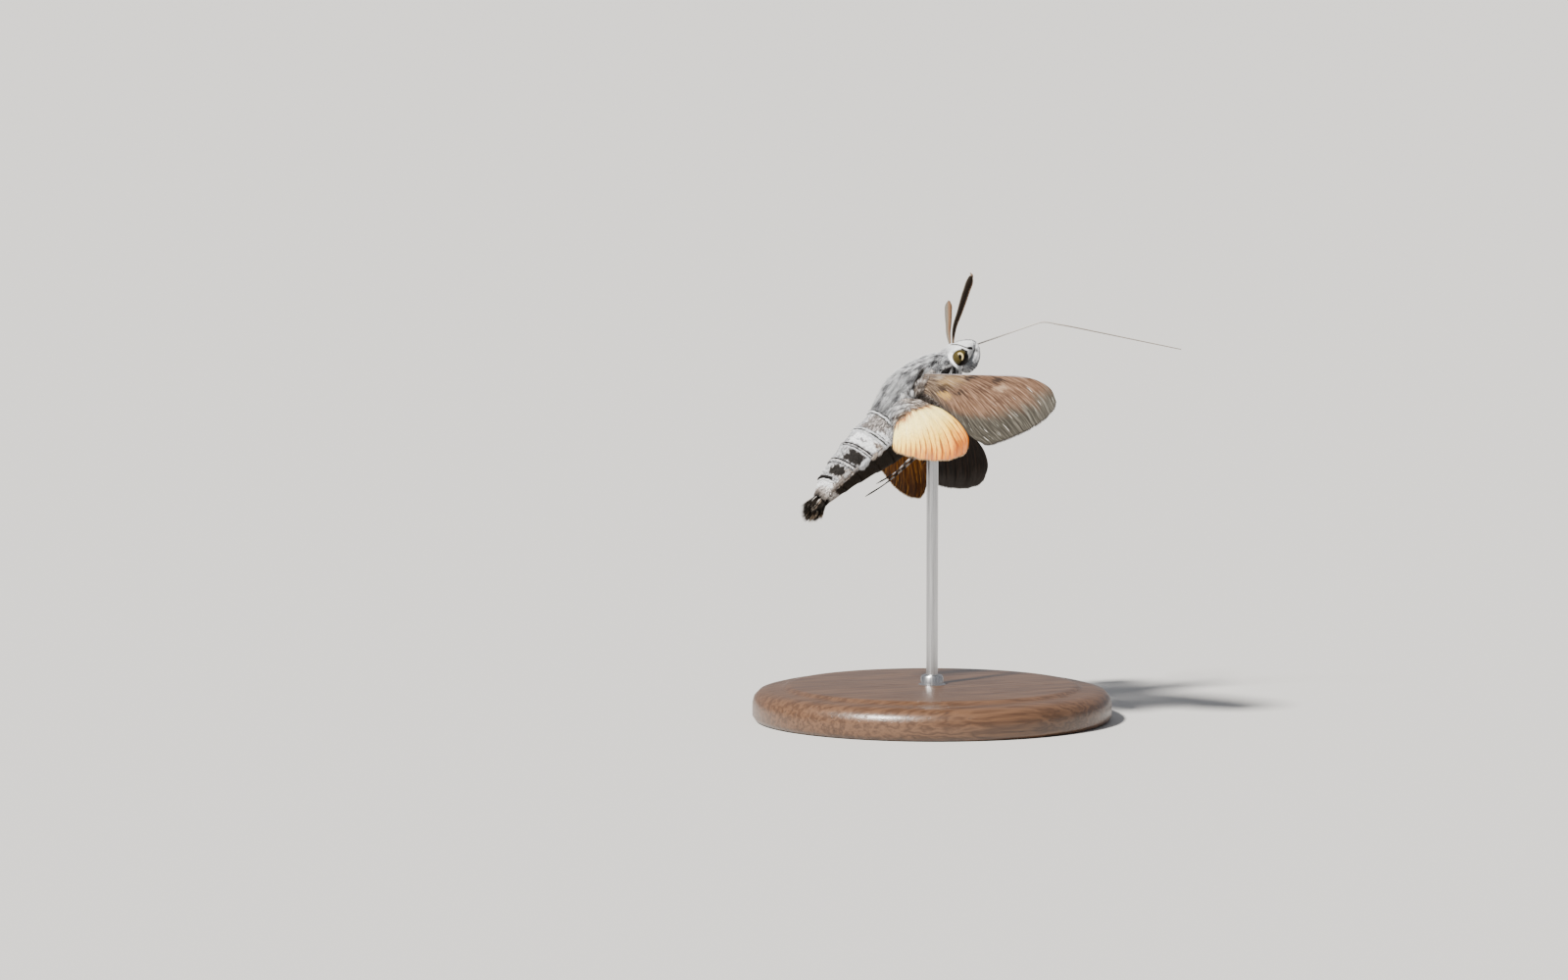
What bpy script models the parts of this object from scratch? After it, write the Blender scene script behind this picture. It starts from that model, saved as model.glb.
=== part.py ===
"""A hummingbird hawk moth in hovering flight, life size, held over a small round base by one rod.

Every piece of the moth is modelled in the moth's own frame, in millimetres: x runs forward to the
face, y to the moth's left and z up through its back, with the origin in the middle of the thorax.
An empty carries that frame into the row frame, which is in metres with +Z up, and whose origin is
the middle of the base's underside. The moth heads along +X.
"""

import math

import bmesh
import bpy
import numpy as np
from mathutils import Euler, Matrix, Vector

MM = 0.001
GAP = 0.28  # free space between two pieces that meet, mm

# How the moth hangs in the air.
PITCH_DEG = 37.4  # nose up
BANK_DEG = 18.7  # right side up
THORAX_HEIGHT = 36.0  # middle of the thorax over the floor, mm

# The stand.
BASE_RADIUS = 20.0
BASE_THICK = 4.0
BASE_EDGE = 0.8
ROD_RADIUS = 0.65
ROD_SOCKET = 2.2  # how far the rod reaches into the thorax
ROD_BELLY = Vector((-1.2, 0.0, -4.4))  # where the rod meets the belly, moth frame

# Trunk outline out to the tips of the coat: place along the body, height of the back, height of
# the belly, half width, and height of the widest line.
TRUNK = (
    (-17.0, -1.45, -2.50, 0.90, -2.00),
    (-16.2, -0.95, -2.80, 1.50, -1.95),
    (-15.3, -0.20, -2.95, 1.95, -1.80),
    (-14.2, 0.45, -3.05, 2.35, -1.70),
    (-12.1, 1.05, -3.25, 2.90, -1.55),
    (-9.9, 1.55, -3.65, 3.35, -1.50),
    (-7.4, 1.95, -4.15, 3.60, -1.40),
    (-4.9, 2.25, -4.55, 3.65, -1.10),
    (-3.4, 2.90, -4.62, 3.70, -0.80),
    (-2.0, 3.50, -4.58, 3.80, -0.40),
    (-0.4, 3.85, -4.45, 3.85, -0.10),
    (1.5, 3.75, -4.15, 3.75, 0.00),
    (3.5, 3.25, -3.65, 3.35, 0.00),
    (5.0, 2.70, -3.00, 2.75, 0.00),
    (6.0, 2.30, -2.40, 2.20, 0.00),
)
THORAX_SPAN = (-3.6, 5.55)
ABDOMEN_FRONT_SPAN = (-9.75, -3.6)
ABDOMEN_REAR_SPAN = (-16.1, -9.75)
TRUNK_SIDES = 28

# Side tufts of the abdomen: place along the body and how far they stand out.
SIDE_TUFTS = ((-8.8, 0.35), (-10.9, 0.50), (-12.9, 0.50), (-14.7, 0.35))
TUFT_LENGTH = 0.75

# Tail fan: place along the body, back, belly, half width, height of the widest line.
TAIL_FAN = (
    (-15.6, -0.40, -2.98, 1.95, -1.78),
    (-16.4, -0.95, -3.25, 2.30, -2.10),
    (-17.3, -1.45, -3.50, 2.65, -2.50),
    (-18.0, -1.80, -3.50, 2.60, -2.70),
    (-18.6, -2.30, -3.15, 1.80, -2.75),
)

# Head: same columns as the trunk.
HEAD = (
    (5.30, 2.15, -1.60, 1.70, 0.10),
    (6.00, 2.25, -1.55, 2.15, 0.10),
    (6.80, 2.15, -1.40, 2.25, 0.10),
    (7.60, 1.90, -1.15, 2.05, 0.10),
    (8.40, 1.50, -0.85, 1.60, 0.15),
    (9.10, 1.00, -0.50, 1.00, 0.20),
    (9.55, 0.50, -0.15, 0.45, 0.20),
)
HEAD_SPAN = (5.83, 9.55)
HEAD_SIDES = 28
EYE_CENTRE = Vector((6.52, 1.62, -0.06))
EYE_RADIUS = 1.02

# Palps: the two white upturned lips that close over the base of the proboscis.
PALP_PATH = (
    (6.20, 0.60, -1.55),
    (7.05, 0.62, -1.62),
    (7.95, 0.60, -1.25),
    (8.80, 0.52, -0.60),
    (9.30, 0.44, -0.02),
)
PALP_RADII = (0.40, 0.62, 0.66, 0.56, 0.26)

# Proboscis: out of the face, up to its knee, then down to the flower.
PROBOSCIS_PATH = ((9.90, 0.0, -0.32), (12.0, 0.0, -1.12), (14.4, 0.0, -2.02), (16.5, 0.0, -2.82))
PROBOSCIS_TIP_PATH = (
    (16.75, 0.0, -2.98),
    (18.3, 0.0, -4.55),
    (21.0, 0.0, -7.85),
    (24.0, 0.0, -11.60),
    (27.2, 0.0, -15.60),
)
PROBOSCIS_RADIUS = 0.26

# Antennae: thin at the base, swelling to a club, with a short hooked tip. The right one is held
# a little higher than the left.
ANTENNA_PATH = (
    (7.35, 0.78, 2.16),
    (8.20, 1.70, 2.80),
    (9.40, 3.15, 3.72),
    (10.75, 4.75, 4.78),
    (11.85, 6.05, 5.62),
    (12.27, 6.45, 5.86),
)
ANTENNA_RAISE = {"right": Vector((0.22, 0.0, 0.27)), "left": Vector((-0.16, 0.0, -0.19))}
ANTENNA_RADII = (0.26, 0.26, 0.30, 0.37, 0.39, 0.25)

# Wings. Each wing is a sheet stretched between its front edge, its outer margin and its inner edge,
# given as (along the span, behind the span line) from the root. The sheet arches between its edges,
# curls down behind, hangs at the tip, and lifts off the root.
WING_THICK = 0.5
FOREWING = dict(
    root=Vector((1.1, 3.1, 0.85)),
    droop_deg={"right": 31.3, "left": 39.2},
    sweep_deg={"right": 13.9, "left": 13.8},
    twist_deg={"right": -15.8, "left": 20.0},
    arch=0.45,
    curl={"right": 2.0, "left": 0.8},
    hang=0.6,
    lift={"right": 0.0, "left": 0.0},
    fold={"right": (1.0, 0.0), "left": (1.0, 0.0)},
    costa=((-1.2, -0.6), (0, -0.75), (5, -1.15), (10, -1.6), (14, -1.85), (17, -1.6), (19.6, -0.65), (20.9, 0.55)),
    margin=(
        (20.9, 0.55),
        (21.1, 1.3),
        (20.6, 2.4),
        (18.9, 3.8),
        (16.6, 4.9),
        (14.2, 5.7),
        (12.8, 6.05),
        (12, 6.1),
    ),
    inner=((-1.2, 1.4), (1, 1.6), (3.5, 2.4), (7, 4.2), (10, 5.6), (12, 6.1)),
)
HINDWING = dict(
    root=Vector((-1.95, 3.1, 0.1)),
    droop_deg={"right": 40.4, "left": 42.0},
    sweep_deg={"right": -5.3, "left": -1.5},
    twist_deg={"right": 4.4, "left": 4.0},
    arch=1.1,
    curl={"right": 0.0, "left": 0.0},
    hang=0.0,
    lift={"right": 1.1, "left": 0.2},
    fold={"right": (1.0, 0.0), "left": (0.64, -0.55)},
    costa=((-1.2, -0.2), (0.3, -0.5), (3, -1.0), (6.5, -1.5), (10.3, -1.3), (12.7, -0.6), (13.8, 0.2)),
    margin=(
        (13.8, 0.2),
        (14.45, 1.0),
        (14.5, 2.05),
        (13.8, 3.3),
        (12.2, 4.6),
        (9.9, 5.5),
        (7.8, 6.0),
        (6.8, 5.85),
        (5.9, 5.3),
    ),
    inner=((-1.2, 0.6), (1.1, 1.7), (3.5, 3.4), (4.9, 4.6), (5.9, 5.3)),
)
SPAN_STEPS = 12
CHORD_STEPS = 8

# Legs, right and left alike: hip, knee, ankle and toes, with the radius at each. The fore and middle
# legs are tucked up, so that each one's thigh and shin are one thick upper part.
LEGS = {
    "foreleg": (
        ((3.1, 0.95, -4.05), (2.3, 1.15, -4.8), (1.3, 1.1, -5.35), (0.2, 0.95, -5.75), (-1.0, 0.8, -6.0)),
        (0.38, 0.42, 0.34, 0.26, 0.25),
    ),
    "midleg": (
        ((1.1, 1.6, -4.4), (0.2, 1.95, -5.0), (-1.0, 2.0, -5.55), (-2.4, 1.8, -5.95), (-3.9, 1.6, -6.2)),
        (0.38, 0.42, 0.34, 0.26, 0.25),
    ),
    "hindleg": (
        ((-2.1, 1.45, -4.95), (-3.6, 1.75, -5.15), (-6.2, 1.55, -5.2), (-8.7, 1.35, -5.15), (-11.4, 1.1, -4.78)),
        (0.34, 0.36, 0.34, 0.27, 0.25),
    ),
}
# The right hind leg is held a little higher and more bent than the left one.
RIGHT_HINDLEG = ((-2.1, 1.45, -4.95), (-3.6, 1.75, -4.98), (-5.5, 1.65, -4.85), (-8.0, 1.4, -4.9), (-10.1, 1.1, -4.5))

SIDES = (("right", -1), ("left", 1))

COLOURS = {
    "grey_fur": ((0.36, 0.35, 0.33, 1.0), 0.9, 0.0),
    "white_scales": ((0.78, 0.76, 0.72, 1.0), 0.85, 0.0),
    "tail_black": ((0.03, 0.027, 0.025, 1.0), 0.75, 0.0),
    "forewing_scales": ((0.34, 0.27, 0.21, 1.0), 0.8, 0.0),
    "hindwing_scales": ((0.85, 0.46, 0.13, 1.0), 0.8, 0.0),
    "eye": ((0.12, 0.09, 0.035, 1.0), 0.25, 0.0),
    "horn": ((0.10, 0.08, 0.07, 1.0), 0.55, 0.0),
    "leg_scales": ((0.30, 0.26, 0.22, 1.0), 0.8, 0.0),
    "base_wood": ((0.11, 0.055, 0.03, 1.0), 0.45, 0.0),
    "rod_steel": ((0.55, 0.55, 0.56, 1.0), 0.3, 1.0),
}


def clear_scene():
    for obj in list(bpy.data.objects):
        bpy.data.objects.remove(obj)


def new_collection(name):
    made = bpy.data.collections.new(name)
    bpy.context.scene.collection.children.link(made)
    return made


def material(name):
    colour, roughness, metallic = COLOURS[name]
    made = bpy.data.materials.get(name)
    if made is None:
        made = bpy.data.materials.new(name)
        made.use_nodes = True
        shader = made.node_tree.nodes["Principled BSDF"]
        shader.inputs["Base Color"].default_value = colour
        shader.inputs["Roughness"].default_value = roughness
        shader.inputs["Metallic"].default_value = metallic
    return made


def hermite(x, xs, ys):
    """A smooth curve through (xs, ys), read at x."""
    slopes = np.gradient(ys, xs)
    i = int(np.clip(np.searchsorted(xs, x) - 1, 0, len(xs) - 2))
    width = xs[i + 1] - xs[i]
    t = (x - xs[i]) / width
    return (
        (2 * t**3 - 3 * t**2 + 1) * ys[i]
        + (t**3 - 2 * t**2 + t) * width * slopes[i]
        + (3 * t**2 - 2 * t**3) * ys[i + 1]
        + (t**3 - t**2) * width * slopes[i + 1]
    )


def read_stations(stations, x):
    """The other columns of a station table at x."""
    rows = np.array(sorted(stations), float)
    return [float(hermite(x, rows[:, 0], rows[:, column])) for column in range(1, rows.shape[1])]


def smooth_at(points, share):
    """The point at this share of the length of a smooth curve through the given points."""
    points = np.array(points, float)
    steps = np.linalg.norm(np.diff(points, axis=0), axis=1)
    along = np.concatenate([[0], np.cumsum(steps)])
    return Vector([hermite(share * along[-1], along, points[:, axis]) for axis in range(points.shape[1])])


def smooth_path(points, count):
    """count points on a smooth curve through the given ones, evenly spread by length."""
    return [smooth_at(points, share) for share in np.linspace(0, 1, count)]


def side_tuft(x, angle):
    """How far the side tufts of the abdomen stand out at this place, mm."""
    sideways = max(0.0, math.cos(angle)) ** 6 + max(0.0, -math.cos(angle)) ** 6
    return sideways * sum(out * math.exp(-(((x - place) / TUFT_LENGTH) ** 2)) for place, out in SIDE_TUFTS)


def section(stations, x, angle, grow=0.0, tufts=False):
    """A point of the outline at x: angle 0 is the left side, 90 degrees the back."""
    back, belly, half, middle = read_stations(stations, x)
    half += side_tuft(x, angle) if tufts else 0.0
    rise = back - middle if math.sin(angle) > 0 else middle - belly
    return Vector((x, (half + grow) * math.cos(angle), middle + (rise + grow) * math.sin(angle)))


def loft(name, stations, span, rings, sides, grow=0.0, tufts=False):
    """A closed body through rings of the outline, with flat ends. Coordinates in mm become metres."""
    mesh = bpy.data.meshes.new(name)
    bm = bmesh.new()
    loops = []
    for x in np.linspace(*span, rings):
        angles = [2 * math.pi * k / sides for k in range(sides)]
        loops.append([bm.verts.new(section(stations, x, a, grow, tufts) * MM) for a in angles])
    for near, far in zip(loops, loops[1:]):
        for k in range(sides):
            bm.faces.new((near[k], near[(k + 1) % sides], far[(k + 1) % sides], far[k]))
    bm.faces.new(loops[0])
    bm.faces.new(loops[-1])
    bmesh.ops.triangulate(bm, faces=[f for f in bm.faces if len(f.verts) > 4])
    bmesh.ops.recalc_face_normals(bm, faces=bm.faces)
    bm.to_mesh(mesh)
    bm.free()
    return bpy.data.objects.new(name, mesh)


def tube_mesh(name, path, radii, count, sides_level=2):
    """A round tube of changing radius along a smooth path, as a closed mesh."""
    curve = bpy.data.curves.new(name, "CURVE")
    curve.dimensions = "3D"
    curve.bevel_depth = MM
    curve.bevel_resolution = sides_level
    curve.use_fill_caps = True
    spline = curve.splines.new("POLY")
    spline.points.add(count - 1)
    marks = np.linspace(0, 1, len(radii))
    places = smooth_path(path, count)
    for k, (point, place) in enumerate(zip(spline.points, places)):
        point.co = (*(place * MM), 1.0)
        point.radius = float(hermite(k / (count - 1), marks, np.array(radii, float)))
    guide = bpy.data.objects.new(name + "_guide", curve)
    bpy.context.scene.collection.objects.link(guide)
    bpy.context.view_layer.update()
    graph = bpy.context.evaluated_depsgraph_get()
    mesh = bpy.data.meshes.new_from_object(guide.evaluated_get(graph))
    mesh.name = name
    bpy.data.objects.remove(guide)
    bm = bmesh.new()
    bm.from_mesh(mesh)
    bmesh.ops.remove_doubles(bm, verts=bm.verts, dist=1e-6)
    bmesh.ops.recalc_face_normals(bm, faces=bm.faces)
    bm.to_mesh(mesh)
    bm.free()
    return bpy.data.objects.new(name, mesh)


def ball(name, centre, radius, segments, rings):
    mesh = bpy.data.meshes.new(name)
    bm = bmesh.new()
    bmesh.ops.create_uvsphere(bm, u_segments=segments, v_segments=rings, radius=radius * MM)
    bm.to_mesh(mesh)
    bm.free()
    obj = bpy.data.objects.new(name, mesh)
    obj.location = centre * MM
    return obj


def cylinder(name, radius, low, high, sides):
    """A round bar standing on z = low, in row-frame millimetres."""
    mesh = bpy.data.meshes.new(name)
    bm = bmesh.new()
    bmesh.ops.create_cone(
        bm,
        cap_ends=True,
        segments=sides,
        radius1=radius * MM,
        radius2=radius * MM,
        depth=(high - low) * MM,
    )
    bm.to_mesh(mesh)
    bm.free()
    obj = bpy.data.objects.new(name, mesh)
    obj.location = (0, 0, (high + low) / 2 * MM)
    return obj


def finish(obj, colour, collection, parent=None, smooth=True):
    obj.data.materials.append(material(colour))
    collection.objects.link(obj)
    obj.parent = parent
    if smooth:
        obj.data.shade_smooth()
        obj.data.set_sharp_from_angle(angle=math.radians(50))
    return obj


def as_cutter(obj, collection, parent=None):
    collection.objects.link(obj)
    obj.parent = parent
    obj.hide_render = True
    obj.display_type = "WIRE"
    return obj


def cut(obj, cutter):
    modifier = obj.modifiers.new("clear_" + cutter.name, "BOOLEAN")
    modifier.operation = "DIFFERENCE"
    modifier.object = cutter
    return obj


def mirrored(point, side):
    """side is -1 for the moth's right and 1 for its left."""
    return Vector((point[0], side * point[1], point[2]))


def wing_axes(wing, side_name, side):
    """Span, chord and upward directions of a wing in the moth frame."""
    angles = [math.radians(wing[key][side_name]) for key in ("droop_deg", "sweep_deg", "twist_deg")]
    droop, sweep, twist = angles
    outward = Vector((0, side * math.cos(droop), -math.sin(droop)))
    up = Vector((0, side * math.sin(droop), math.cos(droop)))
    span = math.sin(sweep) * Vector((1, 0, 0)) + math.cos(sweep) * outward
    chord = -math.cos(sweep) * Vector((1, 0, 0)) + math.sin(sweep) * outward
    return span, math.cos(twist) * chord + math.sin(twist) * up, math.cos(twist) * up - math.sin(twist) * chord


def wing_outline(wing, u, v):
    """A point of the flat wing: u runs out from the root, v back from the front edge."""
    front, rear, edge = (smooth_at(wing[name], t) for name, t in (("costa", u), ("inner", u), ("margin", v)))
    near = Vector(wing["costa"][0]).lerp(Vector(wing["inner"][0]), v)
    far = Vector(wing["costa"][-1]).lerp(Vector(wing["inner"][-1]), v)
    return front.lerp(rear, v) + near.lerp(edge, u) - near.lerp(far, u)


def wing_point(wing, side_name, side, u, v):
    """A point of the wing's middle sheet in the moth frame."""
    span, chord, up = wing_axes(wing, side_name, side)
    s, c = wing_outline(wing, u, v)
    narrow, slant = wing["fold"][side_name]
    if c > 0:
        s, c = s + slant * narrow * c, narrow * c
    arch = wing["arch"] * 4 * v * (1 - v) * math.sin(0.85 * math.pi * u)
    curl = wing["curl"][side_name] * min(max(c / 6.5, 0), 1.2) ** 2 * min(max(s / 6, 0), 1)
    hang = wing["hang"] * (max(s, 0) / 21) ** 2
    lift = wing["lift"][side_name] * min(2.2 * u, 1)
    return mirrored(wing["root"], side) + s * span + c * chord + (arch - curl - hang + lift) * up


def wing_object(name, wing, side_name, side):
    """The wing's middle sheet as a grid, thickened evenly to both faces."""
    mesh = bpy.data.meshes.new(name)
    bm = bmesh.new()
    rows = [
        [
            bm.verts.new(wing_point(wing, side_name, side, i / SPAN_STEPS, j / CHORD_STEPS) * MM)
            for j in range(CHORD_STEPS + 1)
        ]
        for i in range(SPAN_STEPS + 1)
    ]
    for near, far in zip(rows, rows[1:]):
        for j in range(CHORD_STEPS):
            bm.faces.new((near[j], near[j + 1], far[j + 1], far[j]))
    bmesh.ops.recalc_face_normals(bm, faces=bm.faces)
    bm.to_mesh(mesh)
    bm.free()
    obj = bpy.data.objects.new(name, mesh)
    thicken = obj.modifiers.new("thickness", "SOLIDIFY")
    thicken.thickness = WING_THICK * MM
    thicken.offset = 0
    return obj


def moth_pose():
    """The empty that carries the moth frame. Its place puts the rod's belly point over the base."""
    pose = bpy.data.objects.new("moth_pose", None)
    pose.rotation_euler = Euler((math.radians(-BANK_DEG), math.radians(-PITCH_DEG), 0))
    reach = pose.rotation_euler.to_matrix() @ ROD_BELLY
    pose.location = Vector((-reach.x, -reach.y, THORAX_HEIGHT)) * MM
    return pose


def build_trunk(moth, cutters, pose):
    """Thorax, abdomen and tail fan, and the cutter that keeps limbs clear of the thorax."""
    half = GAP / 2
    for name, span, rings in (
        ("abdomen_front", ABDOMEN_FRONT_SPAN, 11),
        ("abdomen_rear", ABDOMEN_REAR_SPAN, 15),
    ):
        inner = (span[0] + half, span[1] - half)
        finish(loft(name, TRUNK, inner, rings, TRUNK_SIDES, tufts=True), "grey_fur", moth, pose)
    inner = (THORAX_SPAN[0] + half, THORAX_SPAN[1])
    thorax = finish(loft("thorax", TRUNK, inner, 14, TRUNK_SIDES), "grey_fur", moth, pose)
    fan_span = (TAIL_FAN[-1][0], ABDOMEN_REAR_SPAN[0] - half)
    finish(loft("tail_fan", TAIL_FAN, fan_span, 7, 24), "tail_black", moth, pose)
    keep_out = loft("trunk_keep_out", TRUNK, (-9.0, THORAX_SPAN[1] + GAP), 18, TRUNK_SIDES, grow=GAP)
    return thorax, as_cutter(keep_out, cutters, pose)


def build_head(moth, cutters, pose):
    head = finish(loft("head", HEAD, HEAD_SPAN, 10, HEAD_SIDES), "white_scales", moth, pose)
    clear = loft("head_keep_out", HEAD, (HEAD_SPAN[0] - GAP, HEAD_SPAN[1] + GAP / 2), 10, HEAD_SIDES, grow=GAP)
    keep_out = as_cutter(clear, cutters, pose)
    for side_name, side in SIDES:
        centre = mirrored(EYE_CENTRE, side)
        eye = ball("eye_" + side_name, centre, EYE_RADIUS, 18, 12)
        finish(eye, "eye", moth, pose)
        socket = as_cutter(ball("socket_" + side_name, centre, EYE_RADIUS + GAP, 16, 10), cutters, pose)
        cut(head, socket)
        palp_path = [mirrored(p, side) for p in PALP_PATH]
        palp = finish(tube_mesh("palp_" + side_name, palp_path, PALP_RADII, 10), "white_scales", moth, pose)
        cut(palp, keep_out)
        last = len(ANTENNA_PATH) - 1
        path = [mirrored(p, side) + ANTENNA_RAISE[side_name] * k / last for k, p in enumerate(ANTENNA_PATH)]
        antenna = tube_mesh("antenna_" + side_name, path, ANTENNA_RADII, 20)
        finish(antenna, "horn", moth, pose)
        cut(antenna, keep_out)
    finish(tube_mesh("proboscis", PROBOSCIS_PATH, [PROBOSCIS_RADIUS] * 2, 12), "horn", moth, pose)
    finish(tube_mesh("proboscis_tip", PROBOSCIS_TIP_PATH, [PROBOSCIS_RADIUS] * 2, 20), "horn", moth, pose)


def build_limbs(moth, pose, keep_out):
    for side_name, side in SIDES:
        for name, wing, colour in (
            ("forewing_", FOREWING, "forewing_scales"),
            ("hindwing_", HINDWING, "hindwing_scales"),
        ):
            obj = finish(wing_object(name + side_name, wing, side_name, side), colour, moth, pose)
            cut(obj, keep_out)
        for name, (path, radii) in LEGS.items():
            path = RIGHT_HINDLEG if (name, side_name) == ("hindleg", "right") else path
            leg = tube_mesh(f"{name}_{side_name}", [mirrored(p, side) for p in path], radii, 18)
            finish(leg, "leg_scales", moth, pose)
            cut(leg, keep_out)


def build_stand(moth, cutters, thorax):
    """The round base and the rod, which ends in a socket in the thorax."""
    base = cylinder("stand_base", BASE_RADIUS, 0.0, BASE_THICK, 56)
    finish(base, "base_wood", moth, smooth=False)
    edge = base.modifiers.new("round_edge", "BEVEL")
    edge.width = BASE_EDGE * MM
    edge.segments = 2
    edge.limit_method = "ANGLE"
    edge.angle_limit = math.radians(60)
    tilt = Euler((math.radians(-BANK_DEG), math.radians(-PITCH_DEG), 0)).to_matrix()
    belly = THORAX_HEIGHT + (tilt @ ROD_BELLY).z
    top = belly + ROD_SOCKET
    rod = cylinder("stand_rod", ROD_RADIUS, BASE_THICK + GAP, top, 20)
    finish(rod, "rod_steel", moth)
    socket = cylinder("rod_socket", ROD_RADIUS + GAP, BASE_THICK, top + GAP, 20)
    cut(thorax, as_cutter(socket, cutters))


def main():
    clear_scene()
    moth = new_collection("hawk_moth")
    cutters = new_collection("cutters")
    pose = moth_pose()
    moth.objects.link(pose)
    thorax, keep_out = build_trunk(moth, cutters, pose)
    build_head(moth, cutters, pose)
    build_limbs(moth, pose, keep_out)
    build_stand(moth, cutters, thorax)


main()
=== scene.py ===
# %% [markdown]
# # A hummingbird hawk moth, hovering
# The moth hangs nose up over a small round base, banked a little to its left, with its long tongue
# stretched out. Everything on it is hair or scale: a fluffy grey thorax, an abdomen ringed with black
# and white, a black tail fan, brown forewings and orange hindwings. The lesson builds one skin for the
# trunk and head, then grows a coat of small solid tufts on it.

import math

import bpy
import numpy as np
from mathutils import Euler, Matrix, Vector


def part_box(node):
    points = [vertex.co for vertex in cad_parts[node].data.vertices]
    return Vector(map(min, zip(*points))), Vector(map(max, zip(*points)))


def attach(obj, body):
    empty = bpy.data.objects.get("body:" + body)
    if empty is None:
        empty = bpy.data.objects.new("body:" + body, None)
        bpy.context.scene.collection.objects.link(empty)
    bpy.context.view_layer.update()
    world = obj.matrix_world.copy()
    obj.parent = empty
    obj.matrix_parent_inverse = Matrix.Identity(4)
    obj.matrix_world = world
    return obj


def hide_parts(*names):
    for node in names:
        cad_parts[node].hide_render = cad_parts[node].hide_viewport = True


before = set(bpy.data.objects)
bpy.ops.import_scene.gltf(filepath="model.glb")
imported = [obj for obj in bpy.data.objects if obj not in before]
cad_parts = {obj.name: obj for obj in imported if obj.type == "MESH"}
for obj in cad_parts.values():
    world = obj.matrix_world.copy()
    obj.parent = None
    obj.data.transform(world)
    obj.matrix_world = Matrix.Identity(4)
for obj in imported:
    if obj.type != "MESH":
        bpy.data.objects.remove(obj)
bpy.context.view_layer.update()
rng = np.random.default_rng(7)

# %% [markdown]
# A flying animal is easiest to model lying straight: x runs to its face, y to its left and z up
# through its back, all in millimetres. One turn and one shift carry finished points into the room.
# Doing that at the very end keeps every length below a number that can be measured on a real moth.

# %% The moth's own frame
MM = 0.001
PITCH_DEG = 37.4
BANK_DEG = 18.7
THORAX_HEIGHT = 36.0
ROD_BELLY = np.array((-1.2, 0.0, -4.4))  # where the rod meets the belly
SIDES = (("right", -1), ("left", 1))

turn = np.array(Euler((math.radians(-BANK_DEG), math.radians(-PITCH_DEG), 0)).to_matrix())
rod_reach = turn @ ROD_BELLY
thorax_middle = np.array((-rod_reach[0], -rod_reach[1], THORAX_HEIGHT))


def in_room(points):
    """Moth-frame millimetres to row-frame metres."""
    return (np.asarray(points, float) @ turn.T + thorax_middle) * MM


print("thorax middle, mm:", np.round(thorax_middle, 2))

# %% [markdown]
# Smooth shapes come from short tables. Between two rows the value follows a cubic that also matches
# the slopes at both rows, so a handful of measured stations makes a flowing outline. A straight
# blend between rows would leave a crease at each one.


# %% Reading tables and paths smoothly
def cubic_between(xs, ys, x):
    slopes = np.gradient(ys, xs, axis=0)
    x = np.clip(x, xs[0], xs[-1])
    i = np.clip(np.searchsorted(xs, x) - 1, 0, len(xs) - 2)
    width = (xs[i + 1] - xs[i])[..., None]
    t = (x - xs[i])[..., None] / width
    return (
        (2 * t**3 - 3 * t**2 + 1) * ys[i]
        + (t**3 - 2 * t**2 + t) * width * slopes[i]
        + (3 * t**2 - 2 * t**3) * ys[i + 1]
        + (t**3 - t**2) * width * slopes[i + 1]
    )


def read_table(table, x):
    rows = np.array(sorted(table), float)
    return cubic_between(rows[:, 0], rows[:, 1:], np.asarray(x, float))


def on_path(points, share):
    """Points at these shares of the length of a smooth curve."""
    points = np.array(points, float)
    steps = np.linalg.norm(np.diff(points, axis=0), axis=1)
    along = np.concatenate([[0], np.cumsum(steps)])
    return cubic_between(along, points, np.asarray(share, float) * along[-1])


def unit(vectors):
    return vectors / np.maximum(np.linalg.norm(vectors, axis=-1, keepdims=True), 1e-12)


def ease(low, high, value):
    """0 below low, 1 above high, smooth between."""
    t = np.clip((value - low) / (high - low), 0, 1)
    return t * t * (3 - 2 * t)


print("half way along a bent path:", np.round(on_path(((0, 0), (1, 0), (1, 1)), 0.5), 3))

# %% [markdown]
# Every surface here is a grid of points: rows along a limb or the trunk, columns around it. A closed
# ring of columns with a fan at each end makes a closed body. Named numbers such as tone and warmth
# are stored on the points, so that a material can read them wherever the piece is seen from.


# %% Turning grids into pieces
def finish_piece(obj, material, replaces=()):
    obj.data.materials.append(material)
    bpy.context.scene.collection.objects.link(obj)
    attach(obj, "root")
    if replaces:
        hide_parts(*replaces)
    return obj


def store(mesh, **values):
    for name, value in values.items():
        layer = mesh.attributes.new(name, "FLOAT", "POINT")
        layer.data.foreach_set("value", np.ascontiguousarray(value, np.float32).ravel())


def circle(columns):
    return np.linspace(0, 2 * math.pi, columns, endpoint=False)


def ring_quads(rows, columns):
    """The number of each grid point, and the faces between them."""
    at = np.arange(rows * columns).reshape(rows, columns)
    near, far = at[:-1], at[1:]
    quads = np.stack([near, np.roll(near, -1, 1), np.roll(far, -1, 1), far], -1)
    return at, quads.reshape(-1, 4)


def smooth_mesh(name, points, faces):
    mesh = bpy.data.meshes.new(name)
    mesh.from_pydata(in_room(points).tolist(), [], faces)
    mesh.update()
    mesh.polygons.foreach_set("use_smooth", np.ones(len(mesh.polygons), bool))
    return mesh


FAN_SPOTS = ((0.5, 0.002), (0.52, 0.002), (0.51, 0.006))  # a fan's face in the UV map, below the rows


def down_map(share):
    """Rows in the UV map, with a margin at both ends."""
    return 0.01 + 0.98 * share


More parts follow.
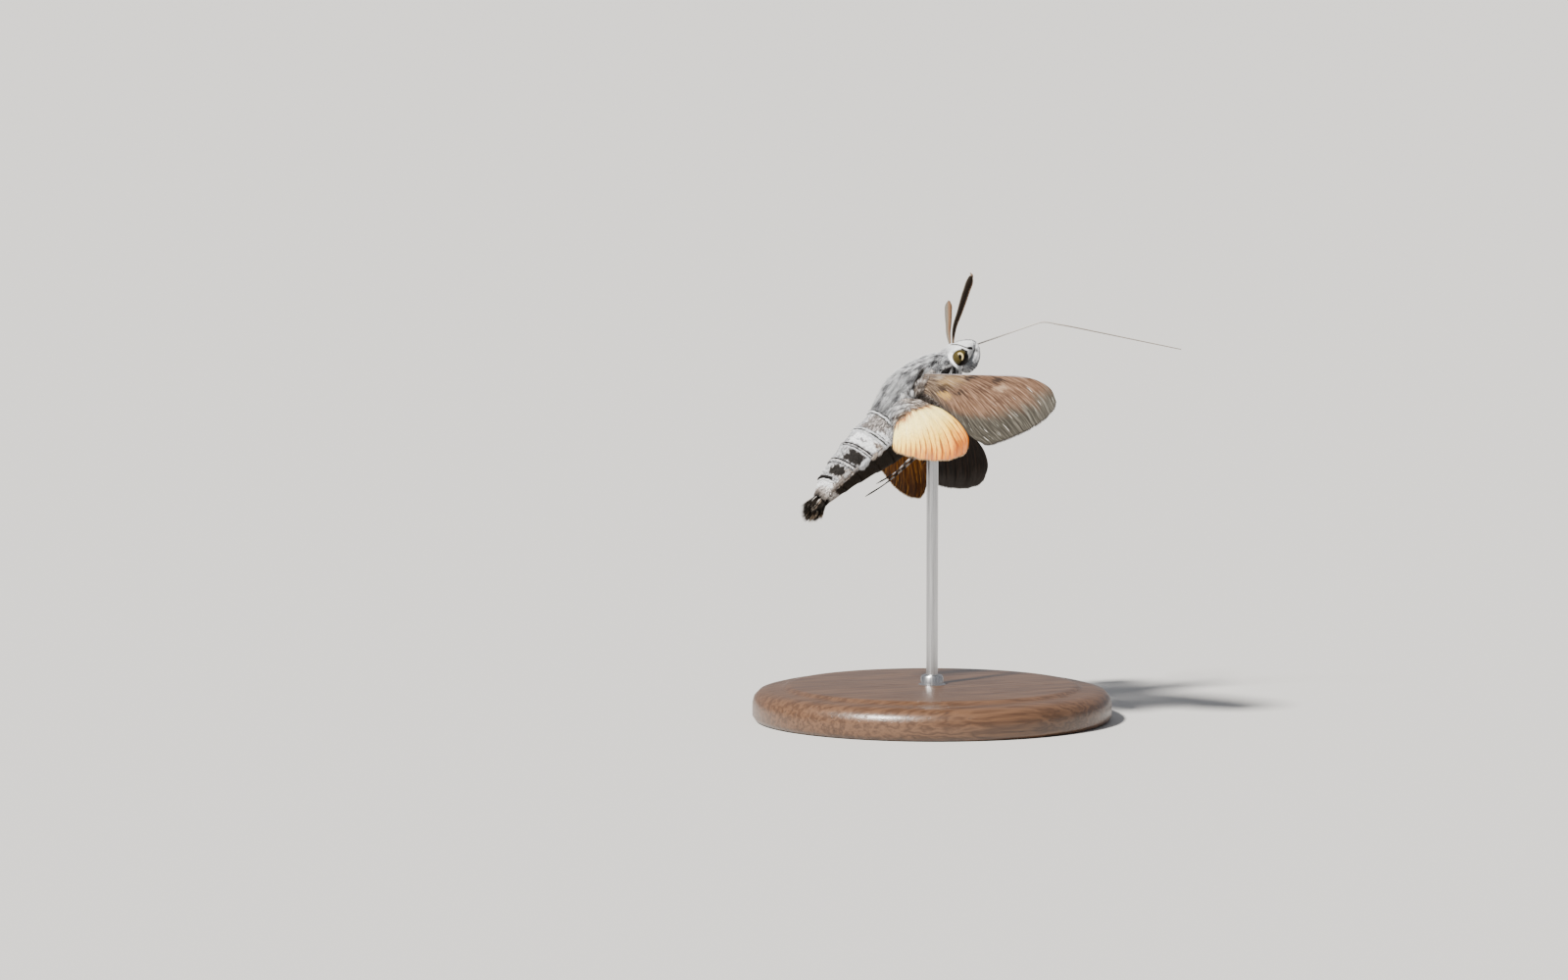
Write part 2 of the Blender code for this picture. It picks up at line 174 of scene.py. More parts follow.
def closed_grid(name, grid, values, uv=True):
    """A closed mesh from rings of points: grid[row, column]. The ends are closed with fans."""
    rows, columns = grid.shape[:2]
    points = np.concatenate([grid.reshape(-1, 3), grid[:1].mean(1), grid[-1:].mean(1)])
    at, quads = ring_quads(rows, columns)
    first, last = rows * columns, rows * columns + 1
    fans = [(first, int(b), int(a)) for a, b in zip(at[0], np.roll(at[0], -1))]
    fans += [(last, int(a), int(b)) for a, b in zip(at[-1], np.roll(at[-1], -1))]
    mesh = smooth_mesh(name, points, quads.tolist() + fans)
    ends = {key: [value[0].mean(), value[-1].mean()] for key, value in values.items()}
    store(mesh, **{key: np.concatenate([value.ravel(), ends[key]]) for key, value in values.items()})
    if uv:
        layer = mesh.uv_layers.new(name="OFBake")
        row, column = np.divmod(quads, columns)
        seam = (column == 0) & (np.roll(column, 2, 1) > 1)
        across = (column + seam * columns) / columns
        fan_uv = np.tile(FAN_SPOTS, (len(fans), 1))
        both = np.concatenate([np.stack([across, down_map(row / (rows - 1))], -1).reshape(-1, 2), fan_uv])
        layer.data.foreach_set("uv", both.astype(np.float32).ravel())
    return bpy.data.objects.new(name, mesh)


def grid_frames(grid):
    """Directions along and around, and the outward normal, at each point of a closed ring grid."""
    along = unit(np.gradient(grid, axis=0))
    around = unit(np.roll(grid, -1, 1) - np.roll(grid, 1, 1))
    return along, around, unit(np.cross(around, along))


def tube(path, radii, rows, columns, flatten=1.0):
    """A ring grid round a smooth path. radii is a table of (share of the length, radius)."""
    share = np.linspace(0, 1, rows)
    centre = on_path(path, share)
    ahead = unit(np.gradient(centre, axis=0))
    side = np.zeros_like(centre)
    side[0] = unit(np.cross(ahead[0], (0.1, 0.2, 1.0)))
    for k in range(1, rows):
        side[k] = unit(side[k - 1] - ahead[k] * np.dot(side[k - 1], ahead[k]))
    up = np.cross(ahead, side)
    radius = read_table(radii, share)
    angle = circle(columns)[None, :, None]
    ring = np.cos(angle) * side[:, None] + flatten * np.sin(angle) * up[:, None]
    return centre[:, None] + radius[:, None] * ring


# %% [markdown]
# ## Hair and scales as solid tufts
# Real hair is far too fine to model one by one, so each tuft stands for a small lock or scale. A
# tuft is three-sided: a straight one is a spike with four faces, and a bent one is a spindle, pointed
# at both ends and widest in its middle ring, with six. Its root sits in the skin, it lies back along
# the body, and its tip is what makes the outline fluffy. All tufts of one region are written into one
# mesh at once with arrays, which is quick.

# %% Growing tufts
# The three ring points come first, then the tip, then a bent tuft's root point.
STRAIGHT = np.array([(0, 1, 2), (0, 3, 1), (1, 3, 2), (2, 3, 0)])
BENT = np.array([(0, 3, 1), (1, 3, 2), (2, 3, 0), (0, 1, 4), (1, 2, 4), (2, 0, 4)])
BENT_AT = 0.45  # how far along a bent tuft is widest
PATCH = 0.003  # the size of each tuft's own patch of the UV map
RING_SPOTS = ((0, 0), (1, 0), (0.5, 0.25))
BENT_SPOTS = ((0, 0.4), (1, 0.4), (0.5, 0.6))


def between(field, i, j, k, fr, fc):
    """Blends between rows i and i + 1 and columns j and k of a grid, by shares fr and fc."""
    low = field[i, j] * (1 - fc) + field[i, k] * fc
    high = field[i + 1, j] * (1 - fc) + field[i + 1, k] * fc
    return low * (1 - fr) + high * fr


def roots_between(grid, frames, i, j, fr, fc):
    """Roots on a ring grid, given its frames, at shares fr and fc of the way past row i and column j."""
    rows, columns = grid.shape[:2]
    where = (i, j, (j + 1) % columns, fr[:, None], fc[:, None])
    along, around, normal = (unit(between(field, *where)) for field in frames)
    roots = {"root": between(grid, *where), "along": along, "around": around, "normal": normal}
    return {**roots, "row": (i + fr) / (rows - 1), "column": (j + fc) / columns}


def scatter(grid, count, density=None):
    """Roots spread over a ring grid by area, times a density that is given for each grid point."""
    step_along = np.linalg.norm(np.diff(grid, axis=0), axis=-1)
    step_around = np.linalg.norm(np.roll(grid, -1, 1) - grid, axis=-1)[:-1]
    weight = step_along * step_around * (1 if density is None else density[:-1])
    total = np.cumsum(weight.ravel())
    spots = (np.arange(count) + rng.random(count)) / count * total[-1]
    cell = np.minimum(np.searchsorted(total, spots), weight.size - 1)
    return roots_between(grid, grid_frames(grid), *np.divmod(cell, grid.shape[1]), *rng.random((2, count)))


def pick(roots, keep):
    return {key: value[keep] for key, value in roots.items()}


def along_body(roots, wander, ahead=1):
    """Directions along the grid, or back where ahead is -1, turned a little either way."""
    return ahead * roots["along"] + wander * rng.normal(size=(len(roots["row"]), 1)) * roots["around"]


def joined(made):
    """Joins rows of (roots, and numbers for each root) into one such row."""
    roots = [row[0] for row in made]
    numbers = [np.concatenate(column) for column in list(zip(*made))[1:]]
    return {key: np.concatenate([part[key] for part in roots]) for key in roots[0]}, *numbers


def tint(roots, tone, warmth):
    for key, value in (("tone", tone), ("warmth", warmth)):
        roots[key] = np.clip(np.broadcast_to(value, len(roots["row"])), 0, 1)
    return roots


def grow(name, roots, lie, length, width, rise_deg, curl=0.0, thick=0.45, sink=0.04, bent=True):
    """Tufts on these roots. lie is each tuft's direction in the skin, length and width are in mm."""
    count = len(lie)
    length = np.broadcast_to(length, count)[:, None]
    width = np.broadcast_to(width, count)[:, None]
    rise = np.radians(np.broadcast_to(rise_deg, count))[:, None]
    normal = roots["normal"]
    lie = unit(lie - normal * np.sum(lie * normal, 1, keepdims=True))
    side = np.cross(lie, normal)

    def centre(t):
        reach = np.cos(rise) * lie * t + normal * (np.sin(rise) * t - curl * t * t)
        return roots["root"] - sink * normal + length * reach

    middle = centre(BENT_AT if bent else 0.0)
    ring = [middle - side * width / 2, middle + side * width / 2, middle + normal * width * thick]
    points = np.stack([*ring, centre(1.0), *([centre(0.0)] if bent else [])], 1)
    size, faces = points.shape[1], BENT if bent else STRAIGHT
    mesh = bpy.data.meshes.new(name)
    mesh.vertices.add(count * size)
    mesh.vertices.foreach_set("co", in_room(points.reshape(-1, 3)).astype(np.float32).ravel())
    corners = (faces[None] + size * np.arange(count)[:, None, None]).reshape(-1, 3)
    mesh.loops.add(corners.size)
    mesh.loops.foreach_set("vertex_index", corners.astype(np.int32).ravel())
    mesh.polygons.add(len(corners))
    mesh.polygons.foreach_set("loop_start", np.arange(0, corners.size, 3, dtype=np.int32))
    mesh.update(calc_edges=True)
    mesh.polygons.foreach_set("use_smooth", np.ones(len(corners), bool))
    tip = np.tile([BENT_AT] * 3 + [1, 0] if bent else [0, 0, 0, 1], count)
    store(mesh, tone=np.repeat(roots["tone"], size), warmth=np.repeat(roots["warmth"], size))
    store(mesh, seed=np.repeat(rng.random(count), size), tip=tip)
    layer = mesh.uv_layers.new(name="OFBake")
    place = np.stack([roots["column"], down_map(roots["row"])], 1) * (1 - PATCH)
    spots = (*BENT_SPOTS, (0.5, 1), (0.5, 0)) if bent else (*RING_SPOTS, (0.5, 1))
    patch = place[:, None] + np.array(spots)[None] * PATCH
    layer.data.foreach_set("uv", patch.reshape(-1, 2)[corners.ravel()].astype(np.float32).ravel())
    print(f"{name}: {count} tufts, {len(corners)} triangles")
    return bpy.data.objects.new(name, mesh)


# %% [markdown]
# Hair never lies evenly: it gathers into locks. Each lock gets one random number, which shades all
# of its hairs alike, and the hairs lean towards the middle line of their lock. Without this a coat
# looks like a brush; with it the light picks out strands.


# %% Locks of hair
def chance_of(*keys):
    """A repeatable random number from 0 to 1 for each set of whole numbers."""
    mixed = sum(key * factor for key, factor in zip(keys, (12.9898, 78.233, 37.719)))
    return np.modf(np.abs(np.sin(mixed) * 43758.5453))[0]


def locks(along, across, long, wide):
    """For each hair: its lock's random number, and how far it stands from the lock's middle line."""
    lane = np.floor(across / wide)
    block = np.floor(along / long + 5 * chance_of(lane, 3.0))
    return chance_of(lane, block), across - (lane + 0.5) * wide


# %% [markdown]
# ## Materials
# Small helpers keep node trees readable: one adds a node with its inputs filled in or linked, one
# makes a colour ramp from its stops, and one feeds the results to the shader. Colours are chosen as
# ramps from dark to light, because a scaled surface never has a single colour.


# %% Node helpers
def add(tree, kind, *inputs, **settings):
    """A new node. Inputs are filled in order: a socket is linked and None is left as it is."""
    made = tree.nodes.new(kind)
    named = settings.pop("named", {})
    for key, value in settings.items():
        setattr(made, key, value)
    for socket, value in [*zip(made.inputs, inputs), *((made.inputs[k], v) for k, v in named.items())]:
        if isinstance(value, bpy.types.NodeSocket):
            tree.links.new(value, socket)
        elif value is not None:
            socket.default_value = value
    return made


def maths(tree, operation, *inputs, clamp=False):
    return add(tree, "ShaderNodeMath", *inputs, operation=operation, use_clamp=clamp).outputs[0]


def times(tree, a, b):
    return maths(tree, "MULTIPLY", a, b)


def plus(tree, a, b):
    return maths(tree, "ADD", a, b)


def minus(tree, a, b):
    return maths(tree, "SUBTRACT", a, b)


def ramp(tree, factor, *stops):
    made = add(tree, "ShaderNodeValToRGB", factor)
    elements = made.color_ramp.elements
    for element, (place, colour) in zip(elements, (stops[0], stops[-1])):
        element.position, element.color = place, (*colour, 1)
    for place, colour in stops[1:-1]:
        elements.new(place).color = (*colour, 1)
    return made.outputs[0]


def mix(tree, factor, a, b, blend="MIX"):
    made = add(tree, "ShaderNodeMix", data_type="RGBA", blend_type=blend)
    for socket, value in ((made.inputs[0], factor), (made.inputs[6], a), (made.inputs[7], b)):
        if isinstance(value, bpy.types.NodeSocket):
            tree.links.new(value, socket)
        else:
            socket.default_value = value if isinstance(value, float) else (*value, 1)
    return made.outputs[2]


def read(tree, name):
    return add(tree, "ShaderNodeAttribute", attribute_name=name).outputs["Fac"]


def noise(tree, vector, scale, detail=2.0, rough=0.5):
    made = add(tree, "ShaderNodeTexNoise", vector)
    made.inputs["Scale"].default_value = scale
    made.inputs["Detail"].default_value = detail
    made.inputs["Roughness"].default_value = rough
    return made.outputs["Fac"]


def new_material(name, roughness=0.6, **sockets):
    """A material with its Principled shader. Constant values are set on the shader's own sockets."""
    made = bpy.data.materials.new(name)
    made.use_nodes = True
    tree = made.node_tree
    shader = tree.nodes["Principled BSDF"]
    shader.inputs["Roughness"].default_value = roughness
    for key, value in sockets.items():
        shader.inputs[key.replace("_", " ")].default_value = value
    return made, tree, shader


def bump(tree, height, strength, distance):
    sockets = {"Height": height, "Strength": strength, "Distance": distance}
    return add(tree, "ShaderNodeBump", named=sockets).outputs[0]


def feed(tree, shader, **sockets):
    """Links values that change over the surface to the shader."""
    for name, value in sockets.items():
        tree.links.new(value, shader.inputs[name.replace("_", " ")])


def new_group(name, inputs, outputs):
    tree = bpy.data.node_groups.new(name, "ShaderNodeTree")
    for label, default in inputs:
        made = tree.interface.new_socket(label, in_out="INPUT", socket_type="NodeSocketFloat")
        made.default_value = default
    for label, kind in outputs:
        tree.interface.new_socket(label, in_out="OUTPUT", socket_type=kind)
    return tree, tree.nodes.new("NodeGroupInput"), tree.nodes.new("NodeGroupOutput")


def use_group(tree, group, **inputs):
    made = tree.nodes.new("ShaderNodeGroup")
    made.node_tree = group
    for key, value in inputs.items():
        socket = made.inputs[key.replace("_", " ")]
        if isinstance(value, bpy.types.NodeSocket):
            tree.links.new(value, socket)
        else:
            socket.default_value = value
    return made


# %% [markdown]
# The body's colours run from black through grey to silver white, with a brown version of the same
# run. A tone of 0 is black and 1 is white, and warmth slides from grey to brown. Skin, hair, leg
# scales and wing fringes all use this one group, so a black ring on the coat is also black on the
# skin under it. A little chance for each tuft keeps neighbours apart.

# %% The scale colour group
scale_colour, inside, out = new_group(
    "scale colour",
    (("Tone", 0.5), ("Warmth", 0.0), ("Chance", 0.5), ("Spread", 0.16)),
    (("Colour", "NodeSocketColor"),),
)
drift = minus(scale_colour, inside.outputs["Chance"], 0.5)
drift = times(scale_colour, drift, inside.outputs["Spread"])
tone = maths(scale_colour, "ADD", inside.outputs["Tone"], drift, clamp=True)
GREYS = (
    (0.0, (0.006, 0.005, 0.005)),
    (0.2, (0.035, 0.034, 0.036)),
    (0.45, (0.163, 0.168, 0.180)),
    (0.7, (0.455, 0.47, 0.495)),
    (1.0, (0.90, 0.915, 0.93)),
)
BROWNS = (
    (0.0, (0.008, 0.006, 0.003)),
    (0.2, (0.05, 0.03, 0.014)),
    (0.45, (0.2, 0.125, 0.065)),
    (0.7, (0.5, 0.34, 0.2)),
    (1.0, (0.9, 0.76, 0.58)),
)
grey, brown = ramp(scale_colour, tone, *GREYS), ramp(scale_colour, tone, *BROWNS)
scale_colour.links.new(mix(scale_colour, inside.outputs["Warmth"], grey, brown), out.inputs["Colour"])
print("groups:", [g.name for g in bpy.data.node_groups])


# %% Coat and skin materials
def scale_material(name, chance, spread, roughness, bump_scale=None, root_shade=0.0):
    """Hair is painted darker at its root by root_shade, as painted shade where its neighbours stand over it.
    """
    made, tree, shader = new_material(name, roughness, Specular_IOR_Level=0.15)
    chance = read(tree, chance) if chance else noise(tree, None, 900.0)
    tone = read(tree, "tone")
    # Painted shade towards the root of each tuft.
    if root_shade:
        rooted = times(tree, minus(tree, 1.0, read(tree, "tip")), root_shade)
        tone = times(tree, tone, minus(tree, 1.0, rooted))
    spread = times(tree, plus(tree, tone, 0.2), spread)  # black scales hardly vary
    values = {"Tone": tone, "Warmth": read(tree, "warmth"), "Chance": chance, "Spread": spread}
    feed(tree, shader, Base_Color=use_group(tree, scale_colour, **values).outputs["Colour"])
    if bump_scale:
        feed(tree, shader, Normal=bump(tree, noise(tree, None, bump_scale, 4.0, 0.7), 0.6, 0.0001))
    return made


hair = scale_material("silver_hair", "seed", 0.34, 0.5, root_shade=0.32)
skin = scale_material("scaled_skin", None, 0.35, 0.75, bump_scale=2600.0)
print("materials:", [m.name for m in bpy.data.materials])


def coat(slot, name, *tufts, **shape):
    """Grows tufts as grow does and adds them to the scene as a piece of hair."""
    return finish_piece(grow(name, *tufts, **shape), hair)


# %% [markdown]
# ## The skin
# Trunk and head are one closed tube, so no seam shows at the neck or waist. The table gives the
# outline out to the hair tips, as a caliper would find it, and the last column is how deep the hair
# is there: the skin lies that much inside. The abdomen's rings telescope, so each one swells a
# little before it dips under the next.

# %% The trunk's tables
# Place along the body, back, belly, half width, widest line, depth of the coat. All in mm.
BODY = (
    (-17.2, -1.75, -2.35, 0.35, -2.05, 0.12),
    (-16.6, -1.20, -2.70, 1.25, -1.98, 0.25),
    (-15.9, -0.70, -2.88, 1.70, -1.90, 0.28),
    (-15.3, -0.20, -2.95, 1.95, -1.80, 0.28),
    (-14.2, 0.45, -3.05, 2.35, -1.70, 0.28),
    (-12.1, 1.05, -3.25, 2.90, -1.55, 0.28),
    (-9.9, 1.55, -3.65, 3.35, -1.50, 0.28),
    (-7.4, 1.95, -4.15, 3.60, -1.40, 0.28),
    (-4.9, 2.25, -4.55, 3.65, -1.10, 0.35),
    (-3.4, 2.90, -4.62, 3.70, -0.80, 0.50),
    (-2.0, 3.50, -4.58, 3.80, -0.40, 0.60),
    (-0.4, 3.85, -4.45, 3.85, -0.10, 0.60),
    (1.5, 3.75, -4.15, 3.75, 0.00, 0.60),
    (3.5, 3.25, -3.65, 3.35, 0.00, 0.55),
    (4.8, 2.80, -3.05, 2.80, 0.00, 0.50),
    (5.6, 2.35, -2.20, 2.15, 0.05, 0.45),
    (6.2, 2.24, -1.60, 2.10, 0.10, 0.33),
    (6.8, 2.15, -1.40, 2.25, 0.10, 0.28),
    (7.6, 1.90, -1.15, 2.05, 0.10, 0.25),
    (8.4, 1.50, -0.85, 1.60, 0.15, 0.22),
    (9.1, 1.00, -0.50, 1.00, 0.20, 0.18),
    (9.5, 0.52, -0.10, 0.46, 0.20, 0.12),
)
RINGS = (-4.9, -8.05, -10.1, -12.4, -14.5)
RING_SWELL = 0.09  # mm, at the end of each ring
RING_FADE = 0.9  # mm, over which the swelling sinks away
LEAN = 0.008


def around_body(points):
    """Place along the body, and degrees from the middle of the back: 90 is the side, 180 the belly."""
    x = points[..., 0]
    back, belly, half, middle, _ = np.moveaxis(read_table(BODY, x), -1, 0)
    up = points[..., 2] - middle
    up = up / np.where(up > 0, back - middle, middle - belly)
    return x, np.degrees(np.arctan2(np.abs(points[..., 1]) / half, up))


def lean(x):
    """How far forward a ring has moved for each degree down the side, mm."""
    return LEAN * ease(-5.0, -7.5, x) + 0.001


def trunk_skin(rows, columns):
    share = np.linspace(0, 1, rows)
    share = share - 0.07 * np.sin(2 * math.pi * share)  # rows crowd where tail and face round off
    x = (BODY[0][0] + (BODY[-1][0] - BODY[0][0]) * share)[:, None]
    phi = circle(columns)[None]
    back, belly, half, middle, depth = (c[:, None] for c in read_table(BODY, x[:, 0]).T)
    angle = np.degrees(np.arccos(np.clip(np.sin(phi), -1, 1)))
    place = x - lean(x) * angle
    swell = sum(np.where(place > r, np.exp(-(place - r) / RING_FADE), 0) for r in RINGS)
    grow_out = RING_SWELL * swell * ease(-4.0, -5.2, x) - depth
    rise = np.where(np.sin(phi) > 0, back - middle, middle - belly) + grow_out
    y = (half + grow_out) * np.cos(phi)
    return np.stack([np.broadcast_to(x, y.shape), y, middle + rise * np.sin(phi)], -1)


TRUNK_ROWS, TRUNK_COLUMNS = 300, 144
trunk = trunk_skin(TRUNK_ROWS, TRUNK_COLUMNS)
trunk_frames = grid_frames(trunk)
print("skin grid:", trunk.shape[:2], "from", round(trunk[0, 0, 0], 2), "to", round(trunk[-1, 0, 0], 2), "mm")


def roots_at(x, phi):
    """Roots on the trunk's skin. phi is 0 at the left side and a quarter turn at the back."""
    row = np.clip(np.interp(x, trunk[:, 0, 0], np.arange(TRUNK_ROWS)), 0, TRUNK_ROWS - 1.001)
    column = phi / (2 * math.pi) % 1 * TRUNK_COLUMNS
    i, j = row.astype(int), np.minimum(column.astype(int), TRUNK_COLUMNS - 1)
    return roots_between(trunk, trunk_frames, i, j, row - i, column - j)


# %% [markdown]
# ## Markings
# The pattern is painted by place: how far along the body, and how far down the side. Each ring is a
# soft-edged bar in those two numbers. One function serves the skin's points and the tufts' roots
# alike, and returns tone, warmth and how strongly single scales differ from each other there.


# %% Painting the body by place
def bar(value, low, high, soft=0.08):
    return ease(low - soft, low + soft, value) * (1 - ease(high - soft, high + soft, value))


def stroke(points, path, width, soft=0.05):
    """1 on a line drawn on the body's side in (x, z), 0 off it."""
    spot = points[..., (0, 2)]
    nearest = np.full(spot.shape[:-1], 9.0)
    for a, b in zip(np.array(path), np.array(path[1:])):
        t = np.clip((spot - a) @ (b - a) / ((b - a) @ (b - a)), 0, 1)
        nearest = np.minimum(nearest, np.linalg.norm(spot - a - t[..., None] * (b - a), axis=-1))
    return 1 - ease(width - soft, width + soft, nearest)


def lay(values, mask, *new):
    """Blends a new tone, warmth and contrast over the old ones where the mask is 1."""
    return [old + (value - old) * mask for old, value in zip(values, new)]


# Each mark: place from and to, angle from and to, then tone, warmth and contrast.
ABDOMEN_MARKS = (
    (-7.6, -5.2, 28, 82, 0.42, 0.26, 1.20),  # brown-grey mottling of the first ring
    (-7.6, -5.0, 82, 112, 0.72, 0.10, 1.50),  # its pied lower edge
    (-7.6, -6.9, 70, 104, 0.92, 0.00, 0.50),  # white scales before the second ring
    (-9.75, -8.35, 26, 94, 1.00, 0.00, 0.10),  # white flank patch
    (-9.2, -8.95, 46, 62, 0.30, 0.10, 0.90),  # dark fleck in it
    (-8.9, -8.3, 84, 108, 0.50, 0.45, 1.60),  # brown and white specks below it
    (-11.9, -10.50, 50, 94, 0.00, 0.30, 0.20),  # black flank patch
    (-14.0, -12.8, 40, 82, 0.00, 0.35, 0.14),  # second black patch
    (-15.5, -14.75, 0, 100, 0.97, 0.02, 0.30),  # white ring before the tail
    (-17.5, -15.5, 0, 180, 0.60, 0.30, 1.30),  # grey-brown brush
    (-15.6, -12.6, 84, 108, 0.55, 0.45, 1.10),  # brown-grey lower edge of the flank
)
# Lines of the rings, as on the scale rows below: place, half width, tone, angle to.
RING_LINES = (
    (-5.05, 0.12, 0.98, 104),
    (-7.76, 0.07, 0.95, 106),
    (-8.22, 0.14, 0.98, 108),
    (-9.98, 0.08, 0.04, 100),
    (-10.36, 0.08, 0.95, 100),
    (-12.16, 0.07, 0.04, 96),
    (-12.34, 0.06, 0.88, 94),
    (-14.48, 0.14, 0.04, 70),
)
BROW_LINE = ((6.85, 1.80), (7.34, 1.22), (7.62, 0.60), (7.83, 0.26))
FACE_SPOT = ((7.95, 0.14), (8.28, -0.08))
EYE_CORNER = ((7.24, 0.50), (7.46, -0.02))
EYE_CENTRE = np.array((6.52, 1.62, -0.06))
EYE_RADIUS = 0.92
# Two directions in the left eye's face, seen from the side: towards the chin, and up.
EYE_FORWARD = unit(np.array((0.729, 0.198, -0.657)))
EYE_UP = unit(np.array((0.633, 0.172, 0.755)))


def from_eyes(points):
    """The way from the nearer eye's centre, mirrored to the left side, mm."""
    return np.abs(points * (0, 1, 0)) + points * (1, 0, 1) - EYE_CENTRE


def body_markings(points):
    """Tone, warmth and contrast of the coat at these points."""
    x, angle = around_body(points)
    place = x - lean(x) * angle
    values = [np.full(x.shape, value) for value in (0.58, 0.06, 1.10)]
    # Thorax: silver grey, with a painted highlight in a white streak along the upper flank, browner towards
    # the wings.
    streak = bar(x, -4.2, -0.4, 0.5) * bar(angle, 30, 52, 7)
    values = lay(values, ease(-4.9, -4.2, x), 0.62, 0.02, 1.45)
    values = lay(values, 0.85 * streak, 0.97, 0.00, 0.60)
    values = lay(values, ease(-4.8, -4.0, x) * ease(72, 92, angle) * ease(3.4, 1.6, x), 0.50, 0.30, 1.00)
    # A dark line runs from the wing root up to the collar: the tegula's dark edge, with painted shade in the
    # crease beside it.
    seam = bar(x, -1.6, 2.3, 0.3) * bar(angle - 80 + 6.7 * (x + 1), -3.5, 3.5, 2.5)
    values = lay(values, seam, 0.05, 0.20, 0.30)
    values = lay(values, ease(-2.0, 1.0, x) * ease(112, 140, angle), 0.74, 0.12, 0.50)
    # The abdomen's underside is painted dark olive brown, as painted shade under the body.
    values = lay(values, ease(-2.5, -4.5, x) * ease(106, 113, angle), 0.02, 0.80, 0.16)
    frayed = place + 0.09 * np.sin(0.37 * angle + 1.7 * x) + 0.05 * np.sin(0.95 * angle)
    frayed_angle = angle + 4.0 * np.sin(6.1 * x) + 2.5 * np.sin(13.0 * x + 0.2 * angle)
    for low, high, from_angle, to_angle, *new in ABDOMEN_MARKS:
        values = lay(values, bar(frayed, low, high, 0.1) * bar(frayed_angle, from_angle, to_angle, 4.0), *new)
    for at, half, line_tone, to_angle in RING_LINES:
        mask = bar(place, at - half, at + half, 0.035) * (1 - ease(to_angle - 6, to_angle + 2, angle))
        values = lay(values, mask, line_tone, 0.0, 0.20)
    # White head with black strokes over and before the eye, and pied scales behind and under it.
    collar = bar(x, 3.1, 5.2, 0.3) * bar(angle, 80, 112, 6)
    throat = bar(x, 4.9, 6.9, 0.3) * ease(104, 116, angle)
    values = lay(values, ease(4.9, 5.9, x), 0.78, 0.04, 0.55)
    values = lay(values, ease(6.0, 6.5, x), 1.00, 0.01, 0.55)
    fleck = chance_of(np.floor(3.0 * x + 0.06 * angle), np.floor(angle / 6.5 - 1.3 * x))
    values = lay(values, np.maximum(collar, throat), np.where(fleck < 0.56, 0.04, 0.95), 0.10, 0.55)
    away = from_eyes(points)
    distance = np.linalg.norm(away, axis=-1)
    behind = ease(0.30, 0.0, away @ EYE_FORWARD / distance)
    values = lay(values, behind * (1 - ease(1.28, 1.46, distance)), 1.00, 0.0, 0.10)
    on_side = ease(0.6, 0.9, np.abs(points[..., 1]))
    for path, width in ((BROW_LINE, 0.065), (FACE_SPOT, 0.15), (EYE_CORNER, 0.11)):
        values = lay(values, stroke(points, path, width) * on_side, 0.03, 0.10, 0.10)
    return values


def with_markings(roots, painter, lie, length, chance):
    """Adds tone and warmth to roots, read where each tuft shows: half way along it."""
    shown = roots["root"] + unit(lie) * np.broadcast_to(length, len(lie))[:, None] * 0.5
    tone, warmth, contrast = painter(shown)
    tone = tone + contrast * (chance - 0.5) * 0.85
    return tint(roots, tone, warmth + 0.15 * (rng.random(len(chance)) - 0.5))


skin_tone, skin_warmth, _ = body_markings(trunk)
SKIN_SHADE = 0.75  # the skin shows only between tufts, where it is in shadow
skin_tone = skin_tone * (SKIN_SHADE + (1 - SKIN_SHADE) * ease(5.4, 6.2, trunk[..., 0]))
body_skin = closed_grid("body_skin", trunk, {"tone": skin_tone, "warmth": skin_warmth})
FLESH = ("head", "thorax", "abdomen_front", "abdomen_rear", "tail_fan")
finish_piece(body_skin, skin, FLESH)
print("skin faces:", len(body_skin.data.polygons))

# %% [markdown]
# ## The coat of the trunk
# Hair on the thorax is long, loose and silver, swept back and down to the waist. The abdomen wears
# short flat scales in rows. The eye is bare, so no root may fall inside its rim. Each region is its
# own mesh, which keeps every piece small enough to handle.

# %% Coat regions of the trunk
# Name, place from and to, tufts, length, width, rise, wander, size of a lock, bent.
COAT = (
    ("coat_thorax", (-4.7, 5.4), 85000, 0.88, 0.053, 11, 9, (0.75, 0.21), False),
    ("coat_abdomen_front", (-9.9, -4.6), 24500, 0.31, 0.118, 7, 6, (0.22, 0.13), True),
    ("coat_abdomen_rear", (-16.6, -9.9), 23500, 0.33, 0.112, 8, 8, (0.22, 0.13), True),
    ("coat_head", (5.4, 9.5), 38000, 0.29, 0.044, 22, 12, (0.22, 0.12), False),
)
BACK_TO, SIDE_TO = 62, 115  # degrees down from the middle of the back


def trunk_lie(roots, x, angle, wander, off):
    """Backwards over the body, drifting down the sides, in gentle swirls, towards the lock's middle."""
    down = -np.sign(np.cos(2 * math.pi * roots["column"]))[:, None] * roots["around"]
    drift = 12 + 22 * ease(20, 95, angle) * ease(-5.5, -2.0, x) * (1 - ease(120, 150, angle))
    drift = drift * (1 - ease(4.5, 6.0, x)) * (1 - 0.8 * ease(-4.5, -6.0, x))
    swirl = 8 * np.sin(2.1 * x + 0.09 * angle) + 6 * np.sin(0.9 * x - 0.13 * angle)
    turned = np.radians(drift + swirl * ease(-5.5, -4.0, x) + wander * rng.normal(size=len(x)))[:, None]
    lie = -roots["along"] * np.cos(turned) + down * np.sin(turned)
    return unit(lie - roots["around"] * off[:, None] * 0.8)


